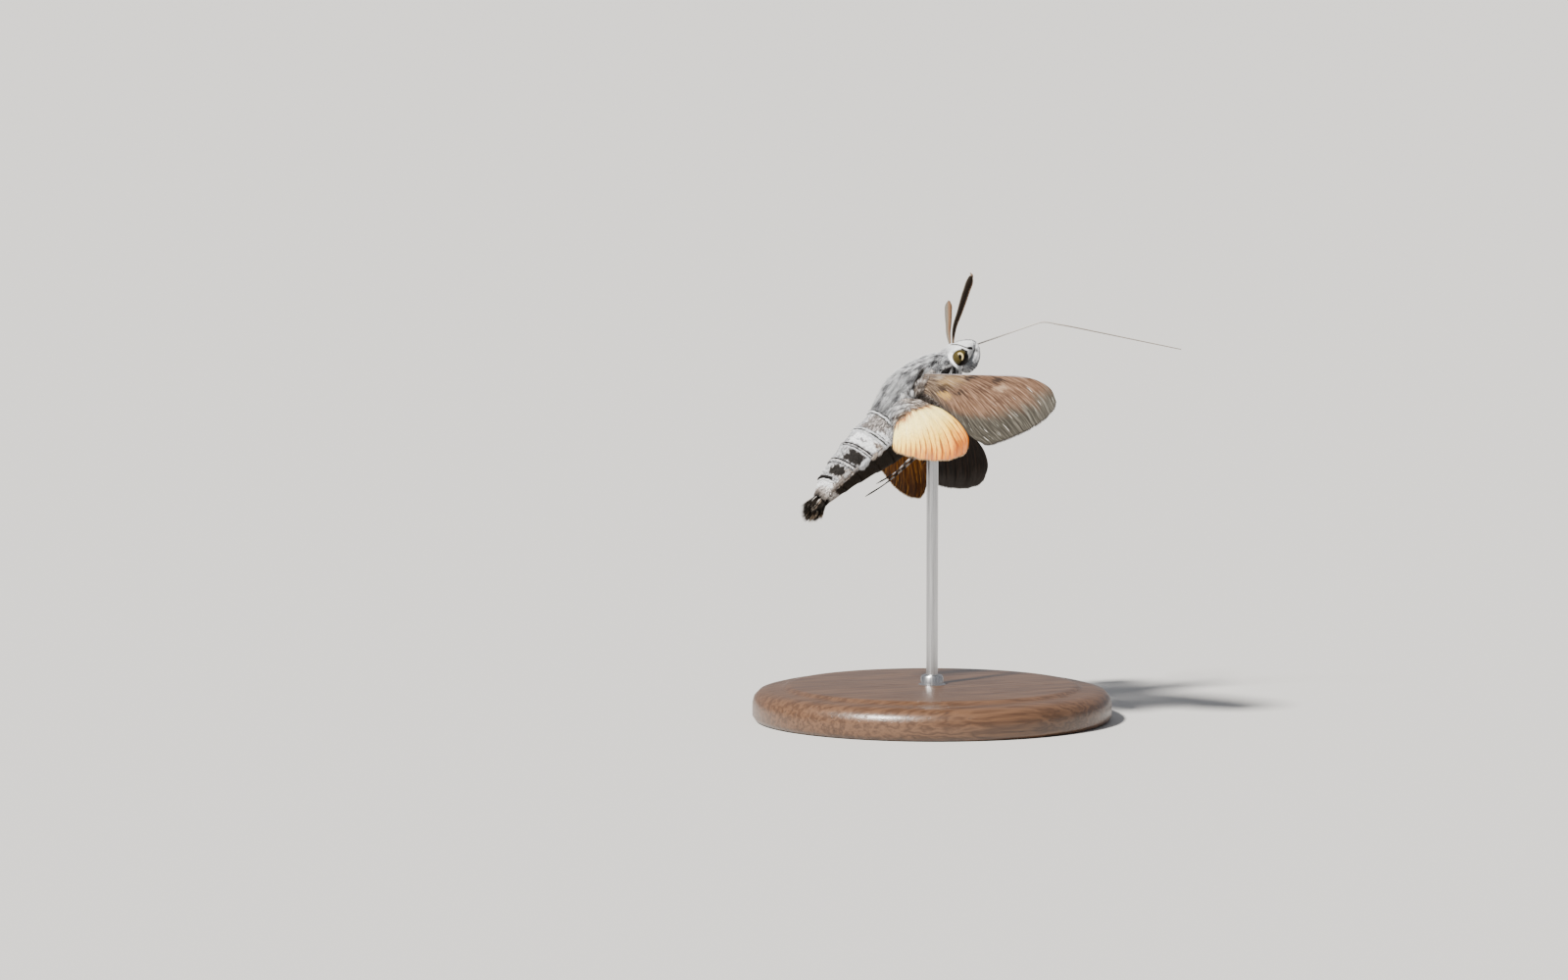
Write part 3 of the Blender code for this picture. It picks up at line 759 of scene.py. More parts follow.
def coat_region(name, span, count, length, width, rise, wander, lock, bent):
    roots = scatter(trunk, count, bar(trunk[..., 0], *span, 0.15) + 1e-9)
    away = np.linalg.norm(from_eyes(roots["root"]), axis=1)
    roots, away = pick(roots, away > EYE_RADIUS - 0.02), away[away > EYE_RADIUS - 0.02]
    x, angle = around_body(roots["root"])
    shared, off = locks(x, 2 * math.pi * roots["column"] * 3.7 + 0.06 * np.sin(3 * x), *lock)
    lie = trunk_lie(roots, x, angle, wander, off)
    long = length * (0.65 + 0.5 * rng.random(len(x)) + 0.2 * shared) * (1 - 0.45 * ease(3.6, 5.6, x))
    if name == "coat_thorax":
        long *= 0.35 + 0.65 * ease(-4.7, -3.5, x)  # short before the waist's white ring
        long *= 1 + 0.35 * ease(0.7, 1.0, shared)
    if name == "coat_head":
        long *= (0.70 + 0.30 * ease(1.0, 1.8, away)) * (1.6 - 0.6 * ease(5.4, 6.2, x))
    roots = with_markings(roots, body_markings, lie, long, 0.6 * shared + 0.4 * rng.random(len(x)))
    brow = bar(away, 0.95, 1.45, 0.12) * ease(0.1, 0.5, from_eyes(roots["root"]) @ EYE_UP)
    lift = rise * (0.5 + 0.7 * rng.random(len(x)) + 0.5 * shared) * (1 + 0.9 * brow)
    side = (angle >= BACK_TO) & (angle < SIDE_TO)
    for part, chosen in {"back": angle < BACK_TO, "side": side, "belly": angle >= SIDE_TO}.items():
        tufts = (f"{name}_{part}", pick(roots, chosen), lie[chosen], long[chosen], width, lift[chosen])
        curl, thick = (0.08, 0.3) if bent else (0.0, 0.45)
        coat("grey_fur", *tufts, curl, thick, 0.03, bent)


for region in COAT:
    coat_region(*region)

# %% [markdown]
# Each ring of the abdomen ends in rows of longer scales, black and white, which make its crisp
# lines. They are laid as real rows over the coat, one row for each line, and a row's beads are
# gaps left in it. Lines painted on loose hair would smear.

# %% Scale rows of the abdomen
# Place, angle to, length at the back and at the side, tone, warmth, share of beads kept.
SCALE_ROWS = (
    (-4.84, 98, 0.10, 0.12, 0.03, 0.2, 0.70),
    (-4.97, 104, 0.20, 0.30, 0.98, 0.0, 0.98),
    (-5.26, 98, 0.08, 0.11, 0.04, 0.2, 0.45),
    (-7.58, 104, 0.11, 0.12, 0.05, 0.2, 0.50),
    (-7.68, 106, 0.16, 0.18, 0.95, 0.0, 0.85),
    (-7.90, 106, 0.12, 0.13, 0.04, 0.2, 0.70),
    (-8.04, 109, 0.20, 0.30, 0.98, 0.0, 0.97),
    (-9.90, 100, 0.13, 0.13, 0.03, 0.2, 0.92),
    (-10.05, 99, 0.11, 0.12, 0.93, 0.1, 0.80),
    (-10.17, 98, 0.13, 0.13, 0.04, 0.2, 0.62),
    (-10.30, 98, 0.15, 0.18, 0.95, 0.0, 0.85),
    (-12.05, 94, 0.16, 0.15, 0.03, 0.2, 0.92),
    (-12.24, 92, 0.12, 0.13, 0.90, 0.2, 0.75),
    (-12.42, 90, 0.15, 0.14, 0.04, 0.2, 0.68),
    (-14.32, 62, 0.32, 0.22, 0.03, 0.2, 0.72),
    (-14.62, 80, 0.28, 0.30, 0.96, 0.1, 0.88),
)
ROW_STEP = 0.32  # degrees between two scales of a row
WAIST_LIFT = 0.14  # the waist's rows stand this much over the thorax hair, mm


def scale_row(index, place, to_angle, at_back, at_side, tone, warmth, kept, side):
    angle = np.arange(0, to_angle, ROW_STEP) + ROW_STEP * rng.random(math.ceil(to_angle / ROW_STEP))
    angle = angle[chance_of(np.floor(angle / 2.6), float(index), float(side + 2)) < kept]
    waver = 0.022 * np.sin(0.31 * angle + index) + 0.012 * np.sin(0.83 * angle)
    x = place + lean(np.full(len(angle), place)) * angle + waver + 0.018 * rng.normal(size=len(angle))
    roots = roots_at(x, math.pi / 2 - side * np.radians(angle))
    roots["root"] += WAIST_LIFT * ease(-5.6, -5.2, x)[:, None] * roots["normal"]
    tint(roots, tone + 0.12 * (rng.random(len(angle)) - 0.5), warmth)
    lie = along_body(roots, 0.10, -1)
    length = (at_back + (at_side - at_back) * ease(20, 80, angle)) * rng.uniform(0.65, 1.15, len(angle))
    return roots, lie, length


for side_name, side in SIDES:
    roots, lie, length = joined([scale_row(index, *row, side) for index, row in enumerate(SCALE_ROWS)])
    coat("white_scales", "scale_rows_" + side_name, roots, lie, length, 0.082, 7.0, 0.05, 0.35, -0.05)

# %% [markdown]
# The side tufts of the abdomen are long white scales that stand out like little brushes, and the
# tail ends in a fan of black ones that spreads and closes as a rudder. Both are grown like the
# rest of the coat but longer, and aimed outwards.

# %% Side tufts and tail fan
# Place, angle, half spread along and in angle, tufts, length, droop, tone, warmth.
SIDE_TUFTS = (
    (-6.9, 106, 0.60, 4.0, 420, 0.50, 0.30, 0.88, 0.10),
    (-7.85, 106, 0.22, 3.0, 520, 0.85, 0.45, 0.88, 0.30),
    (-8.55, 103, 0.25, 4.0, 560, 0.95, 0.40, 0.84, 0.50),
    (-9.85, 100, 0.50, 6.5, 3000, 1.20, 0.42, 1.00, 0.00),
    (-11.2, 98, 0.30, 4.0, 420, 0.60, 0.25, 0.70, 0.30),
    (-12.2, 90, 0.28, 6.0, 640, 0.80, 0.25, 0.90, 0.20),
    (-13.7, 94, 0.80, 6.0, 780, 0.70, 0.15, 0.66, 0.40),
)


def brush(x, angle, half_x, half_angle, count, length, droop, tone, warmth, side):
    """A side tuft: its hairs start spread out and lean together to one tip."""
    off_x, off_angle = rng.uniform(-1, 1, count), np.clip(rng.normal(size=count) * 0.6, -1.3, 1.3)
    down = np.radians(np.abs(angle + half_angle * off_angle))
    roots = roots_at(x + half_x * off_x, math.pi / 2 - side * down)
    tint(roots, tone - 0.30 * rng.random(count) ** 2, warmth)
    gather = droop - 0.45 * off_angle + 0.16 * rng.normal(size=count)
    lie = (0.25 * off_x - 1)[:, None] * roots["along"] - side * gather[:, None] * roots["around"]
    return roots, lie, length * rng.uniform(0.45, 1.1, count) * (1 - 0.35 * np.abs(off_x))


for side_name, side in SIDES:
    roots, lie, length = joined([brush(*tuft, side) for tuft in SIDE_TUFTS])
    rise = rng.uniform(6, 24, len(length))
    coat("white_scales", "side_tufts_" + side_name, roots, lie, length, 0.034, rise, 0.12, 0.45, -0.02)


def tail_roots(low, high, count):
    x, phi = rng.uniform(low, high, count), rng.uniform(0, 2 * math.pi, count)
    return x, phi, roots_at(x, phi)


BRUSH_COUNT = 4600
x, phi, brush_roots = tail_roots(-16.5, -15.2, BRUSH_COUNT)
shared, _ = locks(x, phi * 1.6, 0.4, 0.2)
chance = 0.5 * shared + 0.5 * rng.random(BRUSH_COUNT) - 0.5
# Painted shade: the brush is painted darker underneath, like the belly.
under = ease(0.25, 0.6, np.maximum(-np.sin(phi), 0))
tint(brush_roots, np.maximum(0.62 + 0.75 * chance - 0.55 * under, 0.02), 0.38)
lie = along_body(brush_roots, 0.12, -1)
long = rng.uniform(0.60, 1.20, BRUSH_COUNT)
coat("grey_fur", "tail_brush", brush_roots, lie, long, 0.055, 10.0, bent=False)

FAN_COUNT = 5200
FAN_END = -18.9  # the longest scales reach back to here
x, phi, fan = tail_roots(-17.0, -15.9, FAN_COUNT)
lock = chance_of(np.floor(phi * 4.5), np.floor(x * 2.5))
swerve = chance_of(np.floor(phi * 4.5), 7.0 + np.floor(x * 2.5)) - 0.5
white = chance_of(np.floor(phi * 9), np.floor(x * 4)) > 0.92
tint(fan, np.where(white, 0.85, 0.03) + 0.05 * rng.random(FAN_COUNT), 0.2 + 0.7 * lock)
flare = np.stack([-np.ones(FAN_COUNT), 0.62 * np.cos(phi), 0.24 * np.sin(phi) - 0.26], 1)
flare += 0.34 * swerve[:, None] * (0, 1, 0.7) + 0.045 * rng.normal(size=(FAN_COUNT, 3))
long = (x - FAN_END) * (0.45 + 0.55 * lock) * rng.uniform(0.72, 1.0, FAN_COUNT)
long *= 1 - 0.25 * np.maximum(-np.sin(phi), 0)
fan["normal"] = unit(np.cross(np.cross(flare, fan["normal"]), flare))
coat("tail_black", "tail_fan_scales", fan, flare, long, 0.085, 2.0, 0.0, 0.3)

# %% [markdown]
# ## Eyes
# A hawk moth's eye is a ball of many small lenses with a soft gloss. A dark spot seems to look out
# of it, because the lenses that face you swallow the light, and the lenses beside it flash it back.
# Both are painted at a fixed place on the side of an olive-brown ball, the flash as a painted highlight, and
# painted shade darkens the ball to the front and round its edge.

# %% Eye pieces
EYE_GLOSS = {"Specular_IOR_Level": 0.04, "Coat_Weight": 0.05, "Coat_Roughness": 0.03}
EYE_ROWS, EYE_COLUMNS = 72, 108


def eye_material():
    made, tree, shader = new_material("compound_eye", 0.28, **EYE_GLOSS)
    grain = noise(tree, None, 6000.0, 2.0)
    olive = ramp(tree, grain, (0.3, (0.026, 0.020, 0.007)), (0.7, (0.075, 0.057, 0.018)))
    # Painted shade: the olive turns near black where the shade number is high.
    olive = mix(tree, read(tree, "shade"), olive, (0.004, 0.0025, 0.002))
    flash = mix(tree, read(tree, "flash"), olive, (0.60, 0.48, 0.23))
    colour = mix(tree, read(tree, "pupil"), flash, (0.002, 0.0015, 0.0015))
    cells = add(tree, "ShaderNodeTexVoronoi", named={"Scale": 16000.0})
    feed(tree, shader, Base_Color=colour, Normal=bump(tree, cells.outputs["Distance"], 0.3, 0.00002))
    return made


def eye_ball(side_name, side):
    lat = np.linspace(0.03, math.pi - 0.03, EYE_ROWS)[:, None]
    lon = circle(EYE_COLUMNS)[None]
    shape = np.stack([np.sin(lat) * np.cos(lon), -np.sin(lat) * np.sin(lon), np.cos(lat) + 0 * lon], -1)
    mirror = np.array((1, side, 1))
    forward, up = shape @ (EYE_FORWARD * mirror), shape @ (EYE_UP * mirror)
    outside = ease(0.0, 0.2, shape @ np.array((0.0, side, 0.0)))
    # The dark spot is a tall oval near the middle, and the flashes are an arc of a ring round it.
    f, u = forward + 0.04, up - 0.08
    pupil = 1 - ease(0.85, 1.15, np.hypot((f + 0.15 * u) / 0.17, u / 0.34))
    ring = np.hypot((f + 0.02) / 0.80, u)
    direction = np.degrees(np.arctan2(u, f))
    flash = bar(ring, 0.26, 0.53, 0.06) * bar(direction, -62, 128, 10)
    rim = np.hypot(forward, up)
    # Painted shade: near black towards the front and round the edge of the ball.
    shade = np.clip(ease(0.06, 0.34, 0.85 * forward - 0.45 * up) + ease(0.84, 0.98, rim) * 0.7, 0, 1)
    values = {"pupil": pupil * outside, "flash": 0.85 * flash * outside, "shade": shade}
    return closed_grid("eyeball_" + side_name, EYE_CENTRE * mirror + EYE_RADIUS * shape, values, False)


eye_finish = eye_material()
for side_name, side in SIDES:
    finish_piece(eye_ball(side_name, side), eye_finish, ("eye_" + side_name,))
print("eye radius, mm:", EYE_RADIUS)

# %% [markdown]
# Scales stand round each eye like lids. They overhang it a little above, where they form the white
# brow, and hug it behind. Each one is rooted on the skin at the rim and turned along the rim.

# %% Scales round the eyes
RIM_COUNT = 4600


def eye_rim(side):
    """Places are worked out on the left eye, where turned is 0 towards the chin, and then mirrored."""
    turned = rng.uniform(-math.pi, math.pi, RIM_COUNT)
    behind = ease(0.2, -0.3, np.cos(turned)) * ease(0.75, 0.3, np.sin(turned))
    reach = EYE_RADIUS * (0.93 + rng.random(RIM_COUNT) * (0.16 + 0.30 * behind))
    out = np.cos(turned)[:, None] * EYE_FORWARD + np.sin(turned)[:, None] * EYE_UP
    x, _, z = (EYE_CENTRE + reach[:, None] * out).T
    back, belly, _, middle, depth = read_table(BODY, x).T
    rise = np.where(z > middle, back - middle, middle - belly) - depth
    phi = np.arcsin(np.clip((z - middle) / rise, -0.98, 0.98))
    roots = roots_at(x, phi if side > 0 else math.pi - phi)
    away = unit(roots["root"] - EYE_CENTRE * (1, side, 1))
    roots["normal"] = unit(roots["normal"] + 0.45 * away)
    along_rim = np.cross(away, roots["normal"]) * side * np.sign(np.cos(turned) - 0.2)[:, None]
    inward = (0.95 * ease(0.1, 0.5, np.sin(turned)))[:, None]
    lie = -0.35 * roots["along"] + 0.9 * along_rim - inward * away
    dark = bar(np.degrees(turned), -75, 62, 10) * 0.85
    tone = 1.0 - dark * rng.random(RIM_COUNT) - 0.08 * rng.random(RIM_COUNT)
    tint(roots, np.where(stroke(roots["root"], EYE_CORNER, 0.14) > 0.5, 0.04, tone), 0.03)
    length = rng.uniform(0.18, 0.30, RIM_COUNT) + 0.10 * behind + 0.10 * ease(0.1, 0.6, np.sin(turned))
    return roots, lie, length, 22.0 + 14 * behind


for side_name, side in SIDES:
    roots, lie, length, rise = eye_rim(side)
    coat("white_scales", "eye_scales_" + side_name, roots, lie, length, 0.055, rise, bent=False)

# %% [markdown]
# ## Palps
# Two thick upturned lips close over the root of the tongue and make the moth's blunt white chin.
# Each is a bent, swollen tube with its own short coat that runs up towards the tip. Fine dark
# stripes cross its lower edge.

# %% Palp pieces
PALP_PATH = (
    (6.35, 0.55, -1.00),
    (7.05, 0.62, -1.50),
    (7.95, 0.60, -1.22),
    (8.80, 0.52, -0.58),
    (9.30, 0.44, -0.02),
)
PALP_RADII = ((0, 0.25), (0.25, 0.47), (0.5, 0.50), (0.75, 0.42), (0.93, 0.25), (1, 0.08))
PALP_ROWS, PALP_COLUMNS = 40, 24
PALP_TUFTS = 7500
CREASE_SHADE_SPOT = ((8.30, -0.30), (8.62, -0.62))
STRIPE_STEP = 0.28  # mm from one dark stripe of the chin to the next


def palp_markings(points):
    """White above, striped black and white along the chin, and grey beside the spot on the face, partly
    painted shade in the crease between face and palp.
    """
    x, z = points[..., 0], points[..., 2]
    low = ease(-0.95, -1.45, z) * (1 - ease(7.6, 8.4, x))
    values = [np.full(x.shape, value) for value in (0.95, 0.02, 0.22)]
    values = lay(values, low, 0.80, 0.04, 0.95)
    # Painted shade: grey in the crease where the palp meets the face.
    values = lay(values, 0.8 * stroke(points, CREASE_SHADE_SPOT, 0.20, 0.16), 0.36, 0.10, 0.90)
    stripe = ease(0.1, 0.6, np.sin(2 * math.pi * (x + 0.5 * z) / STRIPE_STEP))
    chin = 0.85 * ease(-1.50, -1.66, z) * bar(x, 6.7, 8.2, 0.2)
    return lay(values, chin, 0.95 - 0.85 * stripe, 0.04, 0.30)


for side_name, side in SIDES:
    grid = tube(np.array(PALP_PATH) * (1, side, 1), PALP_RADII, PALP_ROWS, PALP_COLUMNS)
    tone, warmth, _ = palp_markings(grid)
    palp = closed_grid("palp_skin_" + side_name, grid, {"tone": tone, "warmth": warmth})
    finish_piece(palp, skin, ("palp_" + side_name,))
    roots = scatter(grid, PALP_TUFTS)
    shared, _ = locks(roots["row"] * 4, roots["column"] * 3.0, 0.3, 0.12)
    lie = along_body(roots, 0.2)
    length = rng.uniform(0.22, 0.36, PALP_TUFTS)
    roots = with_markings(roots, palp_markings, lie, length, 0.6 * shared + 0.4 * rng.random(PALP_TUFTS))
    name = "palp_coat_" + side_name
    coat("white_scales", name, roots, lie, length, 0.05, 17.0, 0.0, 0.45, 0.02, bent=False)

# %% [markdown]
# ## Antennae
# They start thin, thicken into a long club and end in a tiny hooked point. The face side is covered
# with pale scales, the outer side is bare, dark and faintly ringed. A tube whose radius comes from a
# table makes the club, and a number stored round the tube tells the material which side is bare.

# %% Antenna pieces
ANTENNA_PATH = (
    (7.05, 0.50, 1.35),
    (7.35, 0.78, 1.80),
    (8.20, 1.70, 2.80),
    (9.40, 3.15, 3.72),
    (10.75, 4.75, 4.78),
    (11.85, 6.05, 5.62),
    (12.15, 6.40, 5.90),
    (12.08, 6.42, 6.05),
)
ANTENNA_RADII = (
    (0, 0.10),
    (0.08, 0.14),
    (0.2, 0.23),
    (0.45, 0.35),
    (0.75, 0.44),
    (0.9, 0.39),
    (0.96, 0.19),
    (0.985, 0.08),
    (1, 0.06),
)
ANTENNA_RAISE = {"right": (0.22, 0.0, 0.27), "left": (0.20, 0.0, -0.38)}  # how far each tip is moved, mm
ANTENNA_RINGS = 60
ANTENNA_ROWS, ANTENNA_COLUMNS, ANTENNA_FLAT = 150, 32, 0.9


def antenna_material():
    made, tree, shader = new_material("antenna_scales", 0.5, Specular_IOR_Level=0.10)
    grain = noise(tree, None, 5000.0, 3.0)
    brown = (0.3, (0.075, 0.036, 0.017)), (0.55, (0.185, 0.105, 0.058)), (0.75, (0.33, 0.21, 0.13))
    grey = (0.3, (0.060, 0.050, 0.040)), (0.55, (0.125, 0.110, 0.088)), (0.75, (0.27, 0.245, 0.205))
    dark = (0.3, (0.002, 0.0015, 0.001)), (0.75, (0.012, 0.007, 0.004))
    brown, grey, dark = (ramp(tree, grain, *stops) for stops in (brown, grey, dark))
    scaled = mix(tree, read(tree, "forward"), grey, brown)
    rings = maths(tree, "PINGPONG", read(tree, "ring"), 0.5)
    dark = mix(tree, times(tree, rings, 0.6), dark, (0.026, 0.014, 0.007))
    colour = mix(tree, read(tree, "bare"), scaled, dark)
    height = plus(tree, rings, times(tree, grain, 0.6))
    feed(tree, shader, Base_Color=colour, Normal=bump(tree, height, 0.5, 0.00004))
    return made


antenna_finish = antenna_material()
for side_name, side in SIDES:
    path = np.array(ANTENNA_PATH, float) * (1, side, 1)
    path = path + np.linspace(-0.1, 1, len(path)).clip(0)[:, None] * ANTENNA_RAISE[side_name]
    grid = tube(path, ANTENNA_RADII, ANTENNA_ROWS, ANTENNA_COLUMNS, ANTENNA_FLAT)
    normal = grid_frames(grid)[2]
    share = np.broadcast_to(np.linspace(0, 1, ANTENNA_ROWS)[:, None], grid.shape[:2])
    bare = ease(0.42, 0.66, normal @ unit(np.array((-0.26, side * 0.965, 0.05))))
    bare = bare * ease(0.06, 0.16, share) * (1 - ease(0.955, 0.97, share))
    forward = ease(-0.62, -0.30, normal @ EYE_FORWARD)
    values = {"bare": bare, "forward": forward, "ring": share * ANTENNA_RINGS}
    club = closed_grid("antenna_" + side_name + "_club", grid, values, False)
    finish_piece(club, antenna_finish, ("antenna_" + side_name,))

# %% [markdown]
# ## The tongue
# The proboscis is as long as the moth itself and about as thick as a hair: two half tubes zipped
# together, with fine rings like a hose. It leaves between the palps, rises to a knee and drops to
# where the flower would be. Its rings are modelled as beads in the tube's radius.

# %% Proboscis pieces
NEAR_PATH = ((9.15, 0, -0.04), (9.90, 0, -0.32), (12.0, 0, -1.12), (14.4, 0, -2.02), (16.62, 0, -2.88))
FAR_PATH = (
    (16.62, 0, -2.88),
    (16.95, 0, -3.08),
    (18.3, 0, -4.55),
    (21.0, 0, -7.85),
    (24.0, 0, -11.60),
    (27.2, 0, -15.60),
)
# Piece, node it replaces, path, radius at its start and end, beads.
PROBOSCIS = (
    ("tongue_near", "proboscis", NEAR_PATH, 0.098, 0.082, 66),
    ("tongue_far", "proboscis_tip", FAR_PATH, 0.082, 0.052, 150),
)
ROWS_PER_BEAD, TONGUE_COLUMNS = 6, 12


def tongue_material():
    made, tree, shader = new_material("tongue", 0.4, Specular_IOR_Level=0.3)
    bead = read(tree, "bead")
    pale = (0.0, (0.24, 0.21, 0.18)), (0.45, (0.46, 0.43, 0.39)), (1.0, (0.74, 0.72, 0.68))
    # Painted shade: the dark ramp stands for the tongue's part out of the light.
    tongue_shade = (0.0, (0.02, 0.014, 0.01)), (0.6, (0.10, 0.07, 0.05)), (1.0, (0.42, 0.36, 0.30))
    pale, tongue_shade = (ramp(tree, bead, *stops) for stops in (pale, tongue_shade))
    feed(tree, shader, Base_Color=mix(tree, read(tree, "tongue_shade"), pale, tongue_shade))
    return made


tongue_finish = tongue_material()
for name, node, path, start, end, beads in PROBOSCIS:
    rows = beads * ROWS_PER_BEAD
    grid = tube(path, ((0, start), (1, end)), rows, TONGUE_COLUMNS)
    share = np.linspace(0, 1, rows)[:, None]
    bead = 0.5 + 0.5 * np.cos(2 * math.pi * share * beads) * np.ones(grid.shape[:2])
    centre = grid.mean(1, keepdims=True)
    grid = centre + (grid - centre) * (0.88 + 0.12 * bead)[..., None]
    # Painted shade: the near part of the tongue is painted a little dark and the far part much darker, where
    # it drops out of the light.
    tongue_shade = (0.12 if node == "proboscis" else 0.25 + 0.6 * ease(0, 0.25, share)) + 0 * bead
    finish_piece(closed_grid(name, grid, {"bead": bead, "tongue_shade": tongue_shade}, False), tongue_finish, (node,))
    print(name, "length mm:", round(float(np.linalg.norm(np.diff(centre[:, 0], axis=0), axis=1).sum()), 1))

# %% [markdown]
# ## Wings
# A wing is a sheet stretched over stiff veins that fan out from the root. Its outline is drawn as
# three smooth lines: front edge, outer margin and inner edge. A patch that blends between them gives
# every point an "out" number from root to margin and a "back" number from front edge to inner edge,
# and those two carry the veins, the folds and the pattern. The sheet is then bent, folded and thinned.

# %% Wing shapes
# droop, sweep and twist are in degrees. arch, curl, hang, lift and pleat are heights in mm, and fold
# narrows the rear part and slants it. Outlines are pairs of (out, back) from the wing's root, mm.
FOREWING = dict(
    root=(1.1, 3.1, 0.85),
    droop={"right": 31.3, "left": 39.2},
    sweep={"right": 13.9, "left": 13.8},
    twist={"right": -15.8, "left": 20.0},
    arch=0.45,
    curl={"right": 2.0, "left": 0.8},
    hang=0.6,
    lift={"right": 0.0, "left": 0.0},
    fold={"right": (1.0, 0.0), "left": (1.0, 0.0)},
    costa=(
        (-1.2, -0.6), (0, -0.75), (5, -1.15), (10, -1.6),
        (14, -1.85), (17, -1.6), (19.6, -0.65), (20.9, 0.55),
    ),
    margin=(
        (20.9, 0.55), (21.1, 1.3), (20.6, 2.4), (18.9, 3.8),
        (16.6, 4.9), (14.2, 5.7), (12.8, 6.05), (12, 6.1),
    ),
    inner=((-1.2, 1.4), (1, 1.6), (3.5, 2.4), (7, 4.2), (10, 5.6), (12, 6.1)),
    veins=(0.06, 0.14, 0.23, 0.33, 0.44, 0.56, 0.69, 0.82, 0.93),
    pleat=0.02,
)
HINDWING = dict(
    root=(-1.95, 3.1, 0.1),
    droop={"right": 40.4, "left": 42.0},
    sweep={"right": -5.3, "left": -1.5},
    twist={"right": 4.4, "left": 4.0},
    arch=1.1,
    curl={"right": 0.0, "left": 0.0},
    hang=0.0,
    lift={"right": 1.1, "left": 0.2},
    fold={"right": (1.0, 0.0), "left": (0.64, -0.55)},
    costa=((-1.2, -0.2), (0.3, -0.5), (3, -1.0), (6.5, -1.5), (10.3, -1.3), (12.7, -0.6), (13.8, 0.2)),
    margin=(
        (13.8, 0.2), (14.45, 1.0), (14.5, 2.05), (13.8, 3.3),
        (12.2, 4.6), (9.9, 5.5), (7.8, 6.0), (6.8, 5.85), (5.9, 5.3),
    ),
    inner=((-1.2, 0.6), (1.1, 1.7), (3.5, 3.4), (4.9, 4.6), (5.9, 5.3)),
    veins=(0.08, 0.2, 0.33, 0.47, 0.61, 0.75, 0.88),
    pleat=0.06,
)


def wing_axes(wing, side_name, side):
    droop, sweep, twist = (math.radians(wing[key][side_name]) for key in ("droop", "sweep", "twist"))
    outward = np.array((0, side * math.cos(droop), -math.sin(droop)))
    up = np.array((0, side * math.sin(droop), math.cos(droop)))
    ahead = np.array((1.0, 0, 0))
    span = math.sin(sweep) * ahead + math.cos(sweep) * outward
    flat = math.sin(sweep) * outward - math.cos(sweep) * ahead
    chord = math.cos(twist) * flat + math.sin(twist) * up
    return span, chord, math.cos(twist) * up - math.sin(twist) * flat


def wing_sheet(wing, side_name, side, u, v):
    """The wing's middle sheet at out = u and back = v."""

    def across(front, rear):
        return np.array(front) * (1 - v)[..., None] + np.array(rear) * v[..., None]

    costa, inner = wing["costa"], wing["inner"]
    near, far = across(costa[0], inner[0]), across(costa[-1], inner[-1])
    edge = on_path(wing["margin"], v)
    flat = across(on_path(costa, u), on_path(inner, u)) + (near + (edge - near) * u[..., None])
    flat = flat - (near + (far - near) * u[..., None])
    s, c = flat[..., 0], flat[..., 1]
    narrow, slant = wing["fold"][side_name]
    s = s + slant * narrow * np.maximum(c, 0)
    c = np.where(c > 0, narrow * c, c)
    arch = wing["arch"] * 4 * v * (1 - v) * np.sin(0.85 * math.pi * u)
    curl = wing["curl"][side_name] * np.clip(c / 6.5, 0, 1.2) ** 2 * np.clip(s / 6, 0, 1)
    hang = wing["hang"] * (np.maximum(s, 0) / 21) ** 2
    lift = wing["lift"][side_name] * np.minimum(2.2 * u, 1)
    pleats = wing["pleat"] * np.sin(2 * math.pi * len(wing["veins"]) * v) * ease(0.15, 0.9, u)
    span, chord, up = wing_axes(wing, side_name, side)
    root = np.array(wing["root"]) * (1, side, 1)
    bend = (arch - curl - hang + lift + pleats)[..., None]
    return root + s[..., None] * span + c[..., None] * chord + bend * up


# %% [markdown]
# Veins are low ridges on both faces, thickest at the root. The upper and lower skins of the wing
# are the same sheet moved a hair's breadth apart, and they close in on each other at the rim.

# %% Wing pieces
WING_ROWS, WING_COLUMNS = 120, 90
WING_HALF_THICK = 0.045
RIM_SHARE = 0.02  # the share of the wing over which its rim thins


def vein_ridge(wing, u, v):
    """Height of the veins over the sheet, mm."""
    nearest = np.min([np.abs(v - place) for place in wing["veins"]], 0)
    sharp = 0.010 + 0.012 * (1 - u)
    return (0.05 - 0.03 * u) * np.exp(-((nearest / sharp) ** 2))


def wing_piece(name, wing, side_name, side, material, node):
    u = np.linspace(0, 1, WING_ROWS)[:, None] + np.zeros(WING_COLUMNS)
    v = np.linspace(0, 1, WING_COLUMNS)[None] + np.zeros((WING_ROWS, 1))
    sheet = wing_sheet(wing, side_name, side, u, v)
    normal = unit(np.cross(np.gradient(sheet, axis=0), np.gradient(sheet, axis=1))) * side
    rim = np.clip(np.minimum.reduce([v, 1 - v, 1 - u]) / RIM_SHARE, 0, 1)
    half = WING_HALF_THICK * (0.25 + 0.75 * rim) + vein_ridge(wing, u, v) * rim
    top, under = sheet + normal * half[..., None], sheet - normal * half[..., None]
    both_faces = ((top, under), (u, u), (v, v), (np.ones_like(u), np.zeros_like(u)))
    made = [np.concatenate([upside, underside[:, ::-1]], 1) for upside, underside in both_faces]
    ring, out, back, upper = (value[:, ::-1] for value in made) if side < 0 else made
    rows, columns = ring.shape[:2]
    at, quads = ring_quads(rows, columns)
    faces = quads.tolist()
    for row, flip in ((0, False), (rows - 1, True)):
        near, far = at[row, :WING_COLUMNS], at[row, WING_COLUMNS:][::-1]
        strip = np.stack([near[:-1], far[:-1], far[1:], near[1:]], -1)
        faces += (strip[:, ::-1] if flip else strip).tolist()
    mesh = smooth_mesh(name, ring.reshape(-1, 3), faces)
    store(mesh, out=out, back=back, upper=upper)
    finish_piece(bpy.data.objects.new(name, mesh), material, (node,))
    return sheet, normal


